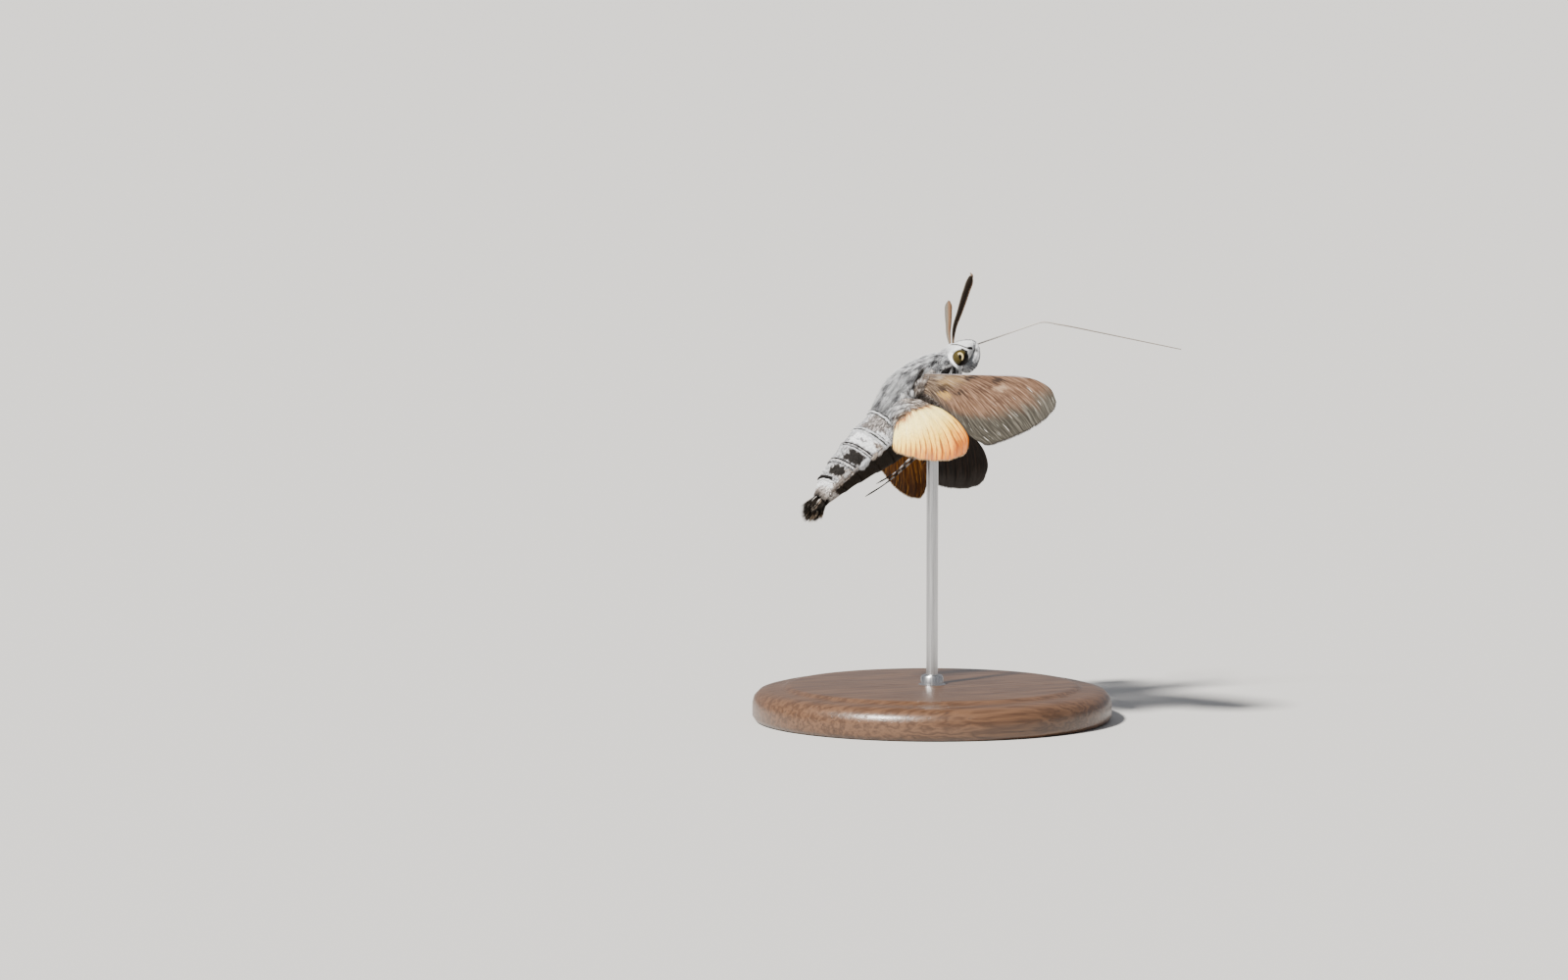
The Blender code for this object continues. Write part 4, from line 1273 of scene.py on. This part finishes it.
# %% [markdown]
# ## Wing colours
# Wing scales lie in rows that run out from the root, so their colours break up into fine streaks
# along the wing. One group makes those streaks for both pairs of wings; a slant number turns them
# towards the forewing's long rear margin. The forewing is mottled near the root, pink brown in the
# middle and grey at the rim. The hindwing runs from cream to deep orange with rusty rays.

# %% The wing streak group
wing_streaks, inside, out = new_group(
    "wing streaks",
    (("Out", 0.0), ("Back", 0.0), ("Slant", 0.0)),
    tuple((label, "NodeSocketFloat") for label in ("Broad", "Fine", "Lines", "Grain")),
)
out_socket, back_socket = inside.outputs["Out"], inside.outputs["Back"]
bend = times(wing_streaks, maths(wing_streaks, "POWER", out_socket, 3.0), 0.35)
slant = times(wing_streaks, minus(wing_streaks, out_socket, bend), inside.outputs["Slant"])
across = minus(wing_streaks, back_socket, slant)
# Each kind of streak: cells along the wing, cells across it, detail.
STREAKS = {
    "Broad": (2.6, 11.0, 2.0),
    "Fine": (5.0, 52.0, 3.5),
    "Lines": (6.0, 80.0, 1.0),
    "Grain": (26.0, 150.0, 2.0),
}
for label, (out_scale, back_scale, detail) in STREAKS.items():
    stretched = (times(wing_streaks, out_socket, out_scale), times(wing_streaks, across, back_scale))
    spot = add(wing_streaks, "ShaderNodeCombineXYZ", *stretched).outputs[0]
    wing_streaks.links.new(noise(wing_streaks, spot, 1.0, detail, 0.6), out.inputs[label])


def soft_step(tree, value, low, high):
    made = add(tree, "ShaderNodeMapRange", value, low, high, 0.0, 1.0, interpolation_type="SMOOTHSTEP")
    return made.outputs[0]


def centred(tree, value, scale):
    """A noise value turned into a push either way."""
    return times(tree, minus(tree, value, 0.5), scale)


def ragged_patch(tree, out_socket, back_socket, ragged, at_out, at_back, wide, tall):
    """A mark at one place of the wing, its edge frayed along the streaks."""
    along = maths(tree, "DIVIDE", minus(tree, out_socket, at_out), wide)
    across = maths(tree, "DIVIDE", minus(tree, back_socket, at_back), tall)
    far = maths(tree, "SQRT", plus(tree, maths(tree, "POWER", along, 2.0), maths(tree, "POWER", across, 2.0)))
    return minus(tree, 1.0, soft_step(tree, plus(tree, far, ragged), 0.45, 1.15))


# %% Wing materials
# Marks of the forewing: out, back, half length, half height, colour, strength.
FOREWING_PATCHES = (
    (0.05, 0.30, 0.070, 0.45, (0.10, 0.085, 0.078), 0.80),  # grey root
    (0.11, 0.62, 0.060, 0.26, (0.020, 0.012, 0.009), 0.90),
    (0.17, 0.18, 0.035, 0.11, (0.34, 0.29, 0.24), 0.45),
    (0.26, 0.28, 0.085, 0.20, (0.25, 0.155, 0.062), 0.65),  # ochre
    (0.27, 0.50, 0.045, 0.13, (0.026, 0.016, 0.011), 0.80),
    (0.36, 0.72, 0.065, 0.10, (0.34, 0.205, 0.058), 0.90),  # bright ochre
    (0.42, 0.52, 0.040, 0.10, (0.018, 0.012, 0.009), 0.92),
    (0.37, 0.09, 0.036, 0.08, (0.012, 0.009, 0.008), 0.92),
    (0.55, 0.10, 0.050, 0.07, (0.020, 0.013, 0.010), 0.88),
    (0.54, 0.29, 0.055, 0.13, (0.045, 0.024, 0.015), 0.75),
    (0.62, 0.21, 0.045, 0.06, (0.34, 0.235, 0.155), 0.60),
    (0.72, 0.40, 0.030, 0.16, (0.055, 0.030, 0.020), 0.55),
    (0.44, 0.95, 0.240, 0.11, (0.046, 0.036, 0.029), 0.78),  # grey-brown inner edge
)


def wing_material(name, painter, slant):
    made, tree, shader = new_material(name, 0.62, Specular_IOR_Level=0.12)
    out_socket, back_socket, upper = (read(tree, key) for key in ("out", "back", "upper"))
    streaks = use_group(tree, wing_streaks, Out=out_socket, Back=back_socket, Slant=slant)
    top, under = painter(tree, out_socket, back_socket, streaks)
    gaps = times(tree, soft_step(tree, streaks.outputs["Grain"], 0.50, 0.66), 0.60)
    colour = mix(tree, gaps, mix(tree, upper, under, top), (0.50, 0.46, 0.42), "MULTIPLY")
    height = plus(tree, times(tree, streaks.outputs["Grain"], 0.7), streaks.outputs["Fine"])
    feed(tree, shader, Base_Color=colour, Normal=bump(tree, height, 0.5, 0.00007))
    return made


# The forewing's ramps, from dark streaks to pale ones: near the root, in the middle, at the rim, and below,
# where the underside is painted near black as shade.
FOREWING_BASE = (0.38, (0.014, 0.009, 0.007)), (0.5, (0.056, 0.036, 0.025)), (0.62, (0.30, 0.22, 0.15))
FOREWING_MIDDLE = (0.34, (0.040, 0.021, 0.013)), (0.5, (0.104, 0.058, 0.035)), (0.68, (0.235, 0.145, 0.094))
FOREWING_RIM = (
    (0.3, (0.018, 0.016, 0.012)),
    (0.5, (0.042, 0.038, 0.030)),
    (0.62, (0.090, 0.082, 0.066)),
    (0.74, (0.17, 0.155, 0.13)),
)
FOREWING_UNDER_SHADED = (0.34, (0.004, 0.0025, 0.002)), (0.5, (0.009, 0.005, 0.003)), (0.68, (0.026, 0.014, 0.008))


def paint_forewing(tree, out_socket, back_socket, streaks):
    broad, fine = streaks.outputs["Broad"], streaks.outputs["Fine"]
    sway = plus(tree, centred(tree, fine, 0.16), centred(tree, broad, 0.16))
    wander = plus(tree, out_socket, sway)
    base, middle, rim = (ramp(tree, fine, *s) for s in (FOREWING_BASE, FOREWING_MIDDLE, FOREWING_RIM))
    colour = mix(tree, soft_step(tree, wander, 0.26, 0.44), base, middle)
    to_back = times(tree, maths(tree, "POWER", back_socket, 4.0), 0.38)
    edge = plus(tree, wander, plus(tree, times(tree, back_socket, 0.10), to_back))
    colour = mix(tree, soft_step(tree, edge, 0.80, 0.97), colour, rim)
    # Painted highlights: pale lines near the rim, where the veins catch the light.
    lines = soft_step(tree, streaks.outputs["Lines"], 0.68, 0.75)
    lines = times(tree, lines, soft_step(tree, edge, 0.72, 0.92))
    colour = mix(tree, lines, colour, (0.72, 0.69, 0.62))
    ragged = plus(tree, centred(tree, fine, 4.4), centred(tree, streaks.outputs["Lines"], 1.8))
    for at_out, at_back, wide, tall, dye, strength in FOREWING_PATCHES:
        mask = ragged_patch(tree, wander, back_socket, ragged, at_out, at_back, wide, tall)
        colour = mix(tree, times(tree, mask, strength), colour, dye)
    # Painted highlight: a pale line along the front edge, fading out towards the tip.
    costa = minus(tree, 1.0, soft_step(tree, back_socket, 0.008, 0.026))
    costa = times(tree, costa, minus(tree, 0.9, soft_step(tree, out_socket, 0.5, 0.8)))
    colour = mix(tree, costa, colour, (0.50, 0.47, 0.50))
    # Painted shade: the underside is near black, with a grey-brown rim.
    under = ramp(tree, fine, *FOREWING_UNDER_SHADED)
    under = mix(tree, soft_step(tree, wander, 0.86, 0.99), under, (0.034, 0.028, 0.024))
    return colour, under


# The hindwing's ramps, from its root to its margin: above, and below in a rust painted darker as shade.
HINDWING_HEAT = (
    (0.20, (0.95, 0.82, 0.36)),
    (0.58, (0.95, 0.76, 0.24)),
    (0.76, (0.90, 0.56, 0.08)),
    (0.91, (0.72, 0.28, 0.018)),
    (1.03, (0.36, 0.095, 0.010)),
)
HINDWING_UNDER_SHADED = (0.1, (0.20, 0.080, 0.010)), (0.6, (0.18, 0.060, 0.007)), (0.95, (0.055, 0.018, 0.004))


def paint_hindwing(tree, out_socket, back_socket, streaks):
    broad, fine = streaks.outputs["Broad"], streaks.outputs["Fine"]
    sway = plus(tree, centred(tree, fine, 0.30), centred(tree, broad, 0.25))
    wander = plus(tree, out_socket, sway)
    heat = plus(tree, wander, times(tree, minus(tree, 0.35, back_socket), 0.45))
    colour = ramp(tree, heat, *HINDWING_HEAT)
    beat = plus(tree, times(tree, back_socket, 17.0), centred(tree, broad, 1.4))
    ray = maths(tree, "PINGPONG", beat, 0.5)
    ray = minus(tree, 1.0, soft_step(tree, ray, 0.06, 0.22))
    strong = soft_step(tree, plus(tree, heat, centred(tree, fine, 0.5)), 0.62, 0.86)
    pale = times(tree, soft_step(tree, fine, 0.52, 0.66), minus(tree, 0.75, times(tree, strong, 0.6)))
    colour = mix(tree, pale, colour, (0.97, 0.86, 0.46))
    colour = mix(tree, times(tree, times(tree, ray, strong), 0.9), colour, (0.22, 0.050, 0.010))
    margin = soft_step(tree, wander, 0.91, 1.0)
    colour = mix(tree, times(tree, margin, 0.45), colour, (0.30, 0.135, 0.060))
    curve = times(tree, maths(tree, "POWER", back_socket, 2.0), 0.42)
    cover = minus(tree, minus(tree, wander, 0.29), curve)
    colour = mix(tree, soft_step(tree, cover, 0.0, 0.12), (0.42, 0.17, 0.06), colour)
    colour = mix(tree, soft_step(tree, cover, -0.10, 0.02), (0.10, 0.085, 0.075), colour)
    # The underside is the wing's rust, painted darker as shade, with pale streaks and dark rays.
    under = ramp(tree, heat, *HINDWING_UNDER_SHADED)
    under = mix(tree, times(tree, soft_step(tree, fine, 0.52, 0.66), 0.8), under, (0.42, 0.19, 0.028))
    under = mix(tree, times(tree, ray, 0.75), under, (0.018, 0.007, 0.003))
    return colour, under


wing_parts = (
    ("forewing", FOREWING, wing_material("forewing_scales", paint_forewing, 1.0)),
    ("hindwing", HINDWING, wing_material("hindwing_scales", paint_hindwing, 0.0)),
)
sheets = {}
for kind, wing, finish in wing_parts:
    for side_name, side in SIDES:
        node = kind + "_" + side_name
        sheets[node] = wing_piece(node + "_sheet", wing, side_name, side, finish, node)
        costa = sheets[node][0][:, 0]
        print(node, "span mm:", round(float(np.linalg.norm(costa[-1] - costa[0])), 1))

# %% [markdown]
# ## Fringes and wing-root hair
# Long narrow scales fringe each wing's rim, and the joint with the body hides under soft hair. Both
# reuse the tuft grower. The fringe is rooted along the rim and points outwards. The root hair is
# rooted over the first few millimetres of the sheet and runs on in the way of the thorax hair.


# %% Fringe and root-hair pieces
def sheet_roots(node, u, v, face=1):
    """Roots on a wing sheet, with directions out along the wing and back across it."""
    sheet, normal = sheets[node]
    row, column = u * (WING_ROWS - 1), v * (WING_COLUMNS - 1)
    i, j = np.minimum(row.astype(int), WING_ROWS - 2), np.minimum(column.astype(int), WING_COLUMNS - 2)
    spot = between(sheet, i, j, j + 1, (row - i)[:, None], (column - j)[:, None])
    along, around = unit(sheet[i + 1, j] - sheet[i, j]), unit(sheet[i, j + 1] - sheet[i, j])
    roots = {"root": spot, "along": along, "around": around, "normal": face * normal[i, j]}
    return {**roots, "row": u, "column": v}


def either_face(roots):
    """Turns every other root to the underside."""
    flip = np.where(np.arange(len(roots["row"])) % 2, 1, -1)
    roots["normal"] = roots["normal"] * flip[:, None]


def wing_coat(node, kind, *tufts, **shape):
    coat(node.split("_")[0] + "_scales", f"{node}_{kind}", *tufts, **shape)


def fringe(node, tone, warmth, count):
    v = (np.arange(count) + rng.random(count)) / count
    roots = sheet_roots(node, 0.998 - 0.03 * rng.random(count) ** 1.5, v)
    either_face(roots)
    roots["root"] = roots["root"] + 0.03 * roots["normal"]
    tint(roots, tone + 0.35 * (rng.random(count) - 0.5), warmth)
    lie = roots["along"] + (0.25 * v[:, None] + 0.16 * rng.normal(size=(count, 1))) * roots["around"]
    wing_coat(node, "fringe", roots, lie, rng.uniform(0.16, 0.34, count), 0.042, 2.0, bent=False)


def edge_hair(node, count, reach, lengths, tone, warmth):
    """Soft hair along the inner edge, from the root to u = reach, that lies back and a little outwards."""
    u = reach * rng.random(count) ** 0.8
    roots = sheet_roots(node, u, 1 - 0.06 * rng.random(count))
    either_face(roots)
    tone = tone + 0.8 * (rng.random(count) - 0.5)
    tint(roots, tone, warmth + 0.3 * (rng.random(count) - 0.5))
    lie = roots["around"] + (0.5 + 0.25 * rng.normal(size=(count, 1))) * roots["along"]
    length = rng.uniform(*lengths, count) * (1 - 0.6 * u / reach)
    wing_coat(node, "edge_hair", roots, lie, length, 0.045, rng.uniform(0, 24, count), 0.25)


THORAX_LIE = np.array((-0.60, 0.0, -0.90))  # the way the thorax hair runs just above the wings


def root_hair(node, face, count, reach, widen, length, rise, tone, spread, warmth, rusty):
    """Hair over the root of one face: it covers u below reach + widen * v squared. rusty is 0 or 1."""
    v = rng.random(count)
    inside = rng.random(count) ** 0.7
    u = np.clip(0.02 + (reach + widen * v**2) * (inside + 0.12 * rng.normal(size=count)), 0, 1)
    roots = sheet_roots(node, u, v, face)
    roots["root"] = roots["root"] + 0.05 * roots["normal"]
    late = ease(0.72, 1.0, inside) * rusty
    front = rusty * ease(0.62, 0.3, v)
    shared = chance_of(*np.floor(roots["root"][:, :2] * (3.5, 2.5)).T)
    chance = 0.55 * shared + 0.45 * rng.random(count) - 0.5
    tone = tone - 0.14 * front + 0.10 * late
    warmth = warmth + 0.34 * front
    tint(roots, tone + spread * chance * (1 - 0.6 * late), warmth + (0.95 - warmth) * late)
    lie = THORAX_LIE + 0.13 * rng.normal(size=(count, 3)) + 0.5 * front[:, None] * roots["along"]
    kind = "upper_hair" if face > 0 else "lower_hair"
    length = length * rng.uniform(0.6, 1.2, count) * (1 - 0.35 * late)
    wing_coat(node, kind, roots, lie, length, 0.050, rise + 10 * shared, 0.16, bent=face > 0)


# Fringes: tone, warmth, tufts. Edge hair: tufts, reach, lengths, tone, warmth.
FRINGES = {"forewing": (0.32, 0.30, 4000), "hindwing": (0.70, 1.00, 3600)}
EDGE_HAIR = {
    "forewing": (2200, 0.42, (0.4, 1.0), 0.42, 0.45),
    "hindwing": (2800, 0.80, (0.5, 1.3), 0.60, 0.25),
}
# Wing, tufts above and below, reach, widening, length, rise, tone, spread, warmth, rusty.
ROOT_HAIR = (
    ("forewing", (3600, 1200), 0.06, 0.07, 0.95, 8.0, 0.34, 0.95, 0.42, 0.0),
    ("hindwing", (7600, 2000), 0.24, 0.36, 1.35, 8.0, 0.52, 1.35, 0.08, 1.0),
)
for side_name, side in SIDES:
    for grower, table in ((fringe, FRINGES), (edge_hair, EDGE_HAIR)):
        for kind, numbers in table.items():
            grower(f"{kind}_{side_name}", *numbers)
    for kind, counts, *numbers in ROOT_HAIR:
        for face, count in zip((1, -1), counts):
            root_hair(f"{kind}_{side_name}", face, count, *numbers)

# %% [markdown]
# Long hair from the thorax hangs over the wing roots and hides the joints: silver behind, and brown
# in the corner between the wings. It is rooted on the trunk and aimed back, down and outwards, so
# that it lies over the hindwing's root as it does on the moth.

# %% Hair over the wing roots
# Place from and to, angle from and to, tufts, lengths, rises, fall, tone, spread, warmth.
DRAPES = (
    (-4.2, -0.2, 60, 88, 7000, (1.2, 2.2), (8, 34), 1.0, 0.56, 1.35, 0.04),
    (-1.8, 1.4, 74, 100, 3000, (1.0, 2.0), (10, 36), 0.75, 0.36, 1.00, 0.45),
    (0.3, 3.0, 64, 82, 2300, (0.8, 1.5), (12, 36), 1.4, 0.52, 1.20, 0.28),
)


def drape(low, high, from_angle, to_angle, count, lengths, rises, fall, tone, spread, warmth, side):
    """Long hair over a wing root. A larger fall sends it more outwards and down than back."""
    x = rng.uniform(low, high, count)
    angle = np.radians(rng.uniform(from_angle, to_angle, count))
    roots = roots_at(x, math.pi / 2 - side * angle)
    shared = chance_of(np.floor(x * 4), np.floor(angle * 24))
    tone = tone + spread * (0.5 * shared + 0.5 * rng.random(count) - 0.5)
    tint(roots, tone, warmth + 0.3 * (rng.random(count) - 0.5))
    sweep = fall * (1 + 0.3 * rng.normal(size=(count, 1)))
    lie = -roots["along"] - side * sweep * roots["around"]
    rise = rises[0] + (rises[1] - rises[0]) * (0.5 * shared + 0.5 * rng.random(count))
    return roots, lie, rng.uniform(*lengths, count), rise


for side_name, side in SIDES:
    roots, lie, length, rise = joined([drape(*row, side) for row in DRAPES])
    coat("grey_fur", "drape_hair_" + side_name, roots, lie, length, 0.050, rise, 0.30)

# %% [markdown]
# ## Legs
# In flight the legs fold back under the body, the hind pair trailing. Each has a thick scaled thigh
# and shin and a thin foot of five joints with two claws. The speckled scales are the coat again,
# very short, and the shins carry pairs of spurs.

# %% Leg pieces
# Each leg's path from hip to claws, for the left side, and its tufts.
LEGS = {
    "foreleg": (
        (3.1, 0.95, -4.05), (2.3, 1.15, -4.8), (1.3, 1.1, -5.35),
        (0.2, 0.95, -5.75), (-1.0, 0.8, -6.0),
    ),
    "midleg": (
        (1.1, 1.6, -4.4), (0.2, 1.95, -5.0), (-1.0, 2.0, -5.55),
        (-2.4, 1.8, -5.95), (-3.9, 1.6, -6.2),
    ),
    "hindleg": (
        (-2.1, 1.45, -4.95), (-3.6, 1.75, -5.15), (-6.2, 1.55, -5.2),
        (-8.7, 1.35, -5.15), (-11.4, 1.1, -4.78),
    ),
}
RIGHT_HINDLEG = (
    (-2.1, 1.45, -4.95), (-3.6, 1.75, -4.98), (-5.5, 1.65, -4.85),
    (-8.0, 1.4, -4.9), (-10.1, 1.1, -4.5),
)
LEG_TUFTS = {"foreleg": 950, "midleg": 1100, "hindleg": 1600}
LEG_RADII = (
    (0, 0.20), (0.22, 0.15), (0.3, 0.11), (0.55, 0.10),
    (0.66, 0.08), (0.8, 0.07), (0.97, 0.06), (1, 0.03),
)
LEG_ROWS, LEG_COLUMNS = 90, 14
HIP_DEPTH = 0.8  # how far the hip starts above the leg's first point, inside the coat, mm
# Two pairs of spurs on the shin and a pair of claws at the end: share of the leg's length, and mm.
SPUR_PLACES = np.array((0.5, 0.62, 0.985))
SPUR_LENGTHS = np.array((0.6, 0.7, 0.75, 0.6, 0.3, 0.3))


def leg_bands(share):
    """Tone, warmth and contrast by the share of the leg's length: pied above, ringed at the foot."""
    ringed = 0.5 + 0.5 * np.sign(np.sin(share * 52))
    foot = ease(0.56, 0.66, share)
    tone = (1 - foot) * (0.18 + 0.62 * ringed) + foot * (0.05 + 0.62 * (ringed > 0.5) * (share < 0.8))
    return tone, 0.30 - 0.1 * foot, 0.8 - 0.5 * foot


def spurs(path, places):
    """Roots and directions for pairs of spurs and for the two claws at the foot's end."""
    share = np.repeat(places, 2)
    ahead = unit(on_path(path, np.minimum(share + 0.02, 1)) - on_path(path, share - 0.02))
    splay = np.tile([-1.0, 1.0], len(places))[:, None] * unit(np.cross(ahead, (0, 0, 1.0)))
    roots = {"root": on_path(path, share), "along": ahead, "around": splay, "normal": np.cross(splay, ahead)}
    roots = tint({**roots, "row": share, "column": np.full(len(share), 0.5)}, 0.3, 0.6)
    return roots, ahead + 0.45 * splay


for side_name, side in SIDES:
    for leg, points in LEGS.items():
        points = RIGHT_HINDLEG if (leg, side_name) == ("hindleg", "right") else points
        path = np.array(points, float) * (1, side, 1)
        path = np.concatenate([path[:1] + (0.15, 0, HIP_DEPTH), path])
        grid = tube(path, LEG_RADII, LEG_ROWS, LEG_COLUMNS)
        share = np.broadcast_to(np.linspace(0, 1, LEG_ROWS)[:, None], grid.shape[:2])
        tone, warmth, _ = leg_bands(share)
        node, count = f"{leg}_{side_name}", LEG_TUFTS[leg]
        # Painted shade: the skin is painted darker, as it shows only between the scales.
        obj = closed_grid(node + "_skin", grid, {"tone": tone * 0.7, "warmth": warmth})
        finish_piece(obj, skin, (node,))
        roots = scatter(grid, count)
        tone, warmth, contrast = leg_bands(roots["row"] + 0.012)
        tint(roots, tone + contrast * (rng.random(count) - 0.5) * 0.8, warmth)
        lie = along_body(roots, 0.15)
        length = rng.uniform(0.20, 0.34, count) * (1 - 0.45 * ease(0.55, 0.66, roots["row"]))
        coat("leg_scales", node + "_scales", roots, lie, length * 0.85, 0.06, 12.0, 0.08, 0.35, 0.02)
        coat("leg_scales", node + "_spurs", *spurs(path, SPUR_PLACES), SPUR_LENGTHS, 0.07, 0.0)

# %% [markdown]
# ## The stand
# A turned hardwood disc carries one thin steel rod that ends in the soft belly hair. The disc is a
# profile spun round its axis, with a rounded edge and a shallow step as a lathe leaves it. The wood
# is dark and oiled: long grain bands, fine pores along them, and a low shine.

# %% Stand shapes
# Profiles are pairs of (radius, height), mm.
rod_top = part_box("stand_rod")[1][2] / MM
BASE_PROFILE = (
    (0.0, 4.0), (1.3, 4.0), (15.6, 4.0), (16.2, 3.94), (16.5, 3.72), (16.9, 3.6), (18.2, 3.55),
    (19.2, 3.3), (19.8, 2.7), (20.0, 2.0), (20.0, 0.6), (19.7, 0.15), (19.3, 0.0), (0.0, 0.0),
)
ROD_PROFILE = (
    (0, rod_top), (0.4, rod_top - 0.02), (0.62, rod_top - 0.3),
    (0.65, rod_top - 0.6), (0.65, 3.6), (0, 3.6),
)
COLLAR_PROFILE = (
    (0, 5.1), (0.9, 5.1), (1.15, 5.0), (1.25, 4.8),
    (1.3, 4.15), (1.55, 3.98), (1.55, 3.8), (0, 3.8),
)


def lathe(name, profile, columns, material, replaces=()):
    """Spins (radius, height) pairs in mm round the row's upright axis."""
    points, rings = [], []
    for radius, height in profile:
        start = len(points)
        if radius == 0:
            points.append((0, 0, height * MM))
            rings.append([start] * columns)
        else:
            wide = radius * MM
            points += [(wide * math.cos(a), wide * math.sin(a), height * MM) for a in circle(columns)]
            rings.append(list(range(start, start + columns)))
    faces = []
    for top, low in zip(rings, rings[1:]):
        for k in range(columns):
            after = (k + 1) % columns
            faces.append(tuple(dict.fromkeys((top[k], low[k], low[after], top[after]))))
    mesh = bpy.data.meshes.new(name)
    mesh.from_pydata(points, [], faces)
    mesh.update()
    mesh.shade_smooth()
    mesh.set_sharp_from_angle(angle=math.radians(40))
    obj = bpy.data.objects.new(name, mesh)
    return finish_piece(obj, material, replaces)


def wood_material():
    made, tree, shader = new_material("oiled_hardwood", 0.4, Coat_Weight=0.15, Coat_Roughness=0.25)
    place = add(tree, "ShaderNodeTexCoord").outputs["Object"]
    stretched = add(tree, "ShaderNodeMapping", place, named={"Scale": (60.0, 900.0, 900.0)}).outputs[0]
    waver = noise(tree, stretched, 0.35, 4.0, 0.6)
    bands = maths(tree, "PINGPONG", times(tree, waver, 9.0), 0.5)
    brown = (0.0, (0.055, 0.026, 0.013)), (0.5, (0.115, 0.058, 0.030)), (1.0, (0.17, 0.092, 0.05))
    colour = ramp(tree, bands, *brown)
    pores = noise(tree, stretched, 3.2, 2.0, 0.7)
    dark = soft_step(tree, pores, 0.62, 0.74)
    colour = mix(tree, times(tree, dark, 0.6), colour, (0.02, 0.01, 0.006))
    rough = plus(tree, times(tree, dark, 0.25), 0.36)
    grain = bump(tree, minus(tree, bands, dark), 0.25, 0.00008)
    feed(tree, shader, Base_Color=colour, Roughness=rough, Normal=grain)
    return made


def steel_material():
    made, tree, shader = new_material("brushed_steel_rod", 0.3, Metallic=1.0)
    place = add(tree, "ShaderNodeTexCoord").outputs["Object"]
    drawn = add(tree, "ShaderNodeMapping", place, named={"Scale": (9000.0, 9000.0, 160.0)}).outputs[0]
    lines = noise(tree, drawn, 1.0, 2.0, 0.6)
    colour = ramp(tree, lines, (0.3, (0.42, 0.42, 0.43)), (0.7, (0.62, 0.62, 0.62)))
    rough = plus(tree, times(tree, lines, 0.2), 0.2)
    feed(tree, shader, Base_Color=colour, Roughness=rough, Normal=bump(tree, lines, 0.1, 0.00001))
    return made


wood, steel = wood_material(), steel_material()
lathe("stand_disc", BASE_PROFILE, 128, wood, ("stand_base",))
lathe("stand_rod_bar", ROD_PROFILE, 32, steel, ("stand_rod",))
lathe("stand_collar", COLLAR_PROFILE, 48, steel)
print("rod top mm:", round(rod_top, 2))

# %% [markdown]
# ## Floor, light and camera
# A pale floor runs far back so that it fills the view. The key light is a soft sun from high on the
# left, which falls on the moth's back, and the pale surroundings fill the shade. A sun lights the
# floor evenly, where a lamp close by would leave a bright pool. The camera is a long lens almost
# level with the moth, so the body is seen with little distortion.

# %% Floor and lights
AZIMUTH_DEG = 23.45
ELEVATION_DEG = 5.0
CAMERA_DISTANCE = 725.0
LENS, SENSOR = 150.0, 36.0
FRAME_LEFT, FRAME_DOWN = 14.46, 10.33  # the view's middle lies this far left of and below the thorax, mm
FLOOR = 20.0  # metres from the middle to each edge

azimuth, elevation = math.radians(AZIMUTH_DEG), math.radians(ELEVATION_DEG)
level = np.array((math.sin(azimuth), math.cos(azimuth), 0))
look = math.cos(elevation) * level - (0, 0, math.sin(elevation))
screen_right = np.array((math.cos(azimuth), -math.sin(azimuth), 0))
screen_up = np.cross(screen_right, look)

floor_mesh = bpy.data.meshes.new("floor")
corners = [(-FLOOR, -FLOOR, 0), (FLOOR, -FLOOR, 0), (FLOOR, FLOOR, 0), (-FLOOR, FLOOR, 0)]
floor_mesh.from_pydata(corners, [], [(0, 1, 2, 3)])
floor = bpy.data.objects.new("floor", floor_mesh)
floor_finish, tree, shader = new_material("pale_floor", 0.85)
pale = (0.3, (0.52, 0.51, 0.495)), (0.7, (0.55, 0.54, 0.525))
feed(tree, shader, Base_Color=ramp(tree, noise(tree, None, 0.6), *pale))
floor_mesh.materials.append(floor_finish)
bpy.context.scene.collection.objects.link(floor)

sun_data = bpy.data.lights.new("soft_sun", "SUN")
sun_data.energy, sun_data.angle, sun_data.color = 11.5, math.radians(7), (1.0, 0.97, 0.92)
sun = bpy.data.objects.new("soft_sun", sun_data)
toward_sun = -0.58 * screen_right + 0.78 * screen_up - 0.72 * look
sun.rotation_euler = Vector(-toward_sun).to_track_quat("-Z", "Y").to_euler()
bpy.context.scene.collection.objects.link(sun)
world = bpy.data.worlds.new("studio")
world.use_nodes = True
background = world.node_tree.nodes["Background"]
background.inputs["Color"].default_value = (0.90, 0.93, 1.0, 1)
background.inputs["Strength"].default_value = 0.40
bpy.context.scene.world = world

# %% Camera
camera = bpy.data.objects.new("camera", bpy.data.cameras.new("camera"))
camera.data.lens, camera.data.sensor_width = LENS, SENSOR
camera.data.clip_start, camera.data.clip_end = 0.01, 100.0
aim = thorax_middle - FRAME_LEFT * screen_right - FRAME_DOWN * screen_up
camera.location = Vector((aim - CAMERA_DISTANCE * look) * MM)
camera.rotation_euler = Vector(look).to_track_quat("-Z", "Y").to_euler()
bpy.context.scene.collection.objects.link(camera)
bpy.context.scene.camera = camera
print("camera at, m:", [round(v, 4) for v in camera.location])
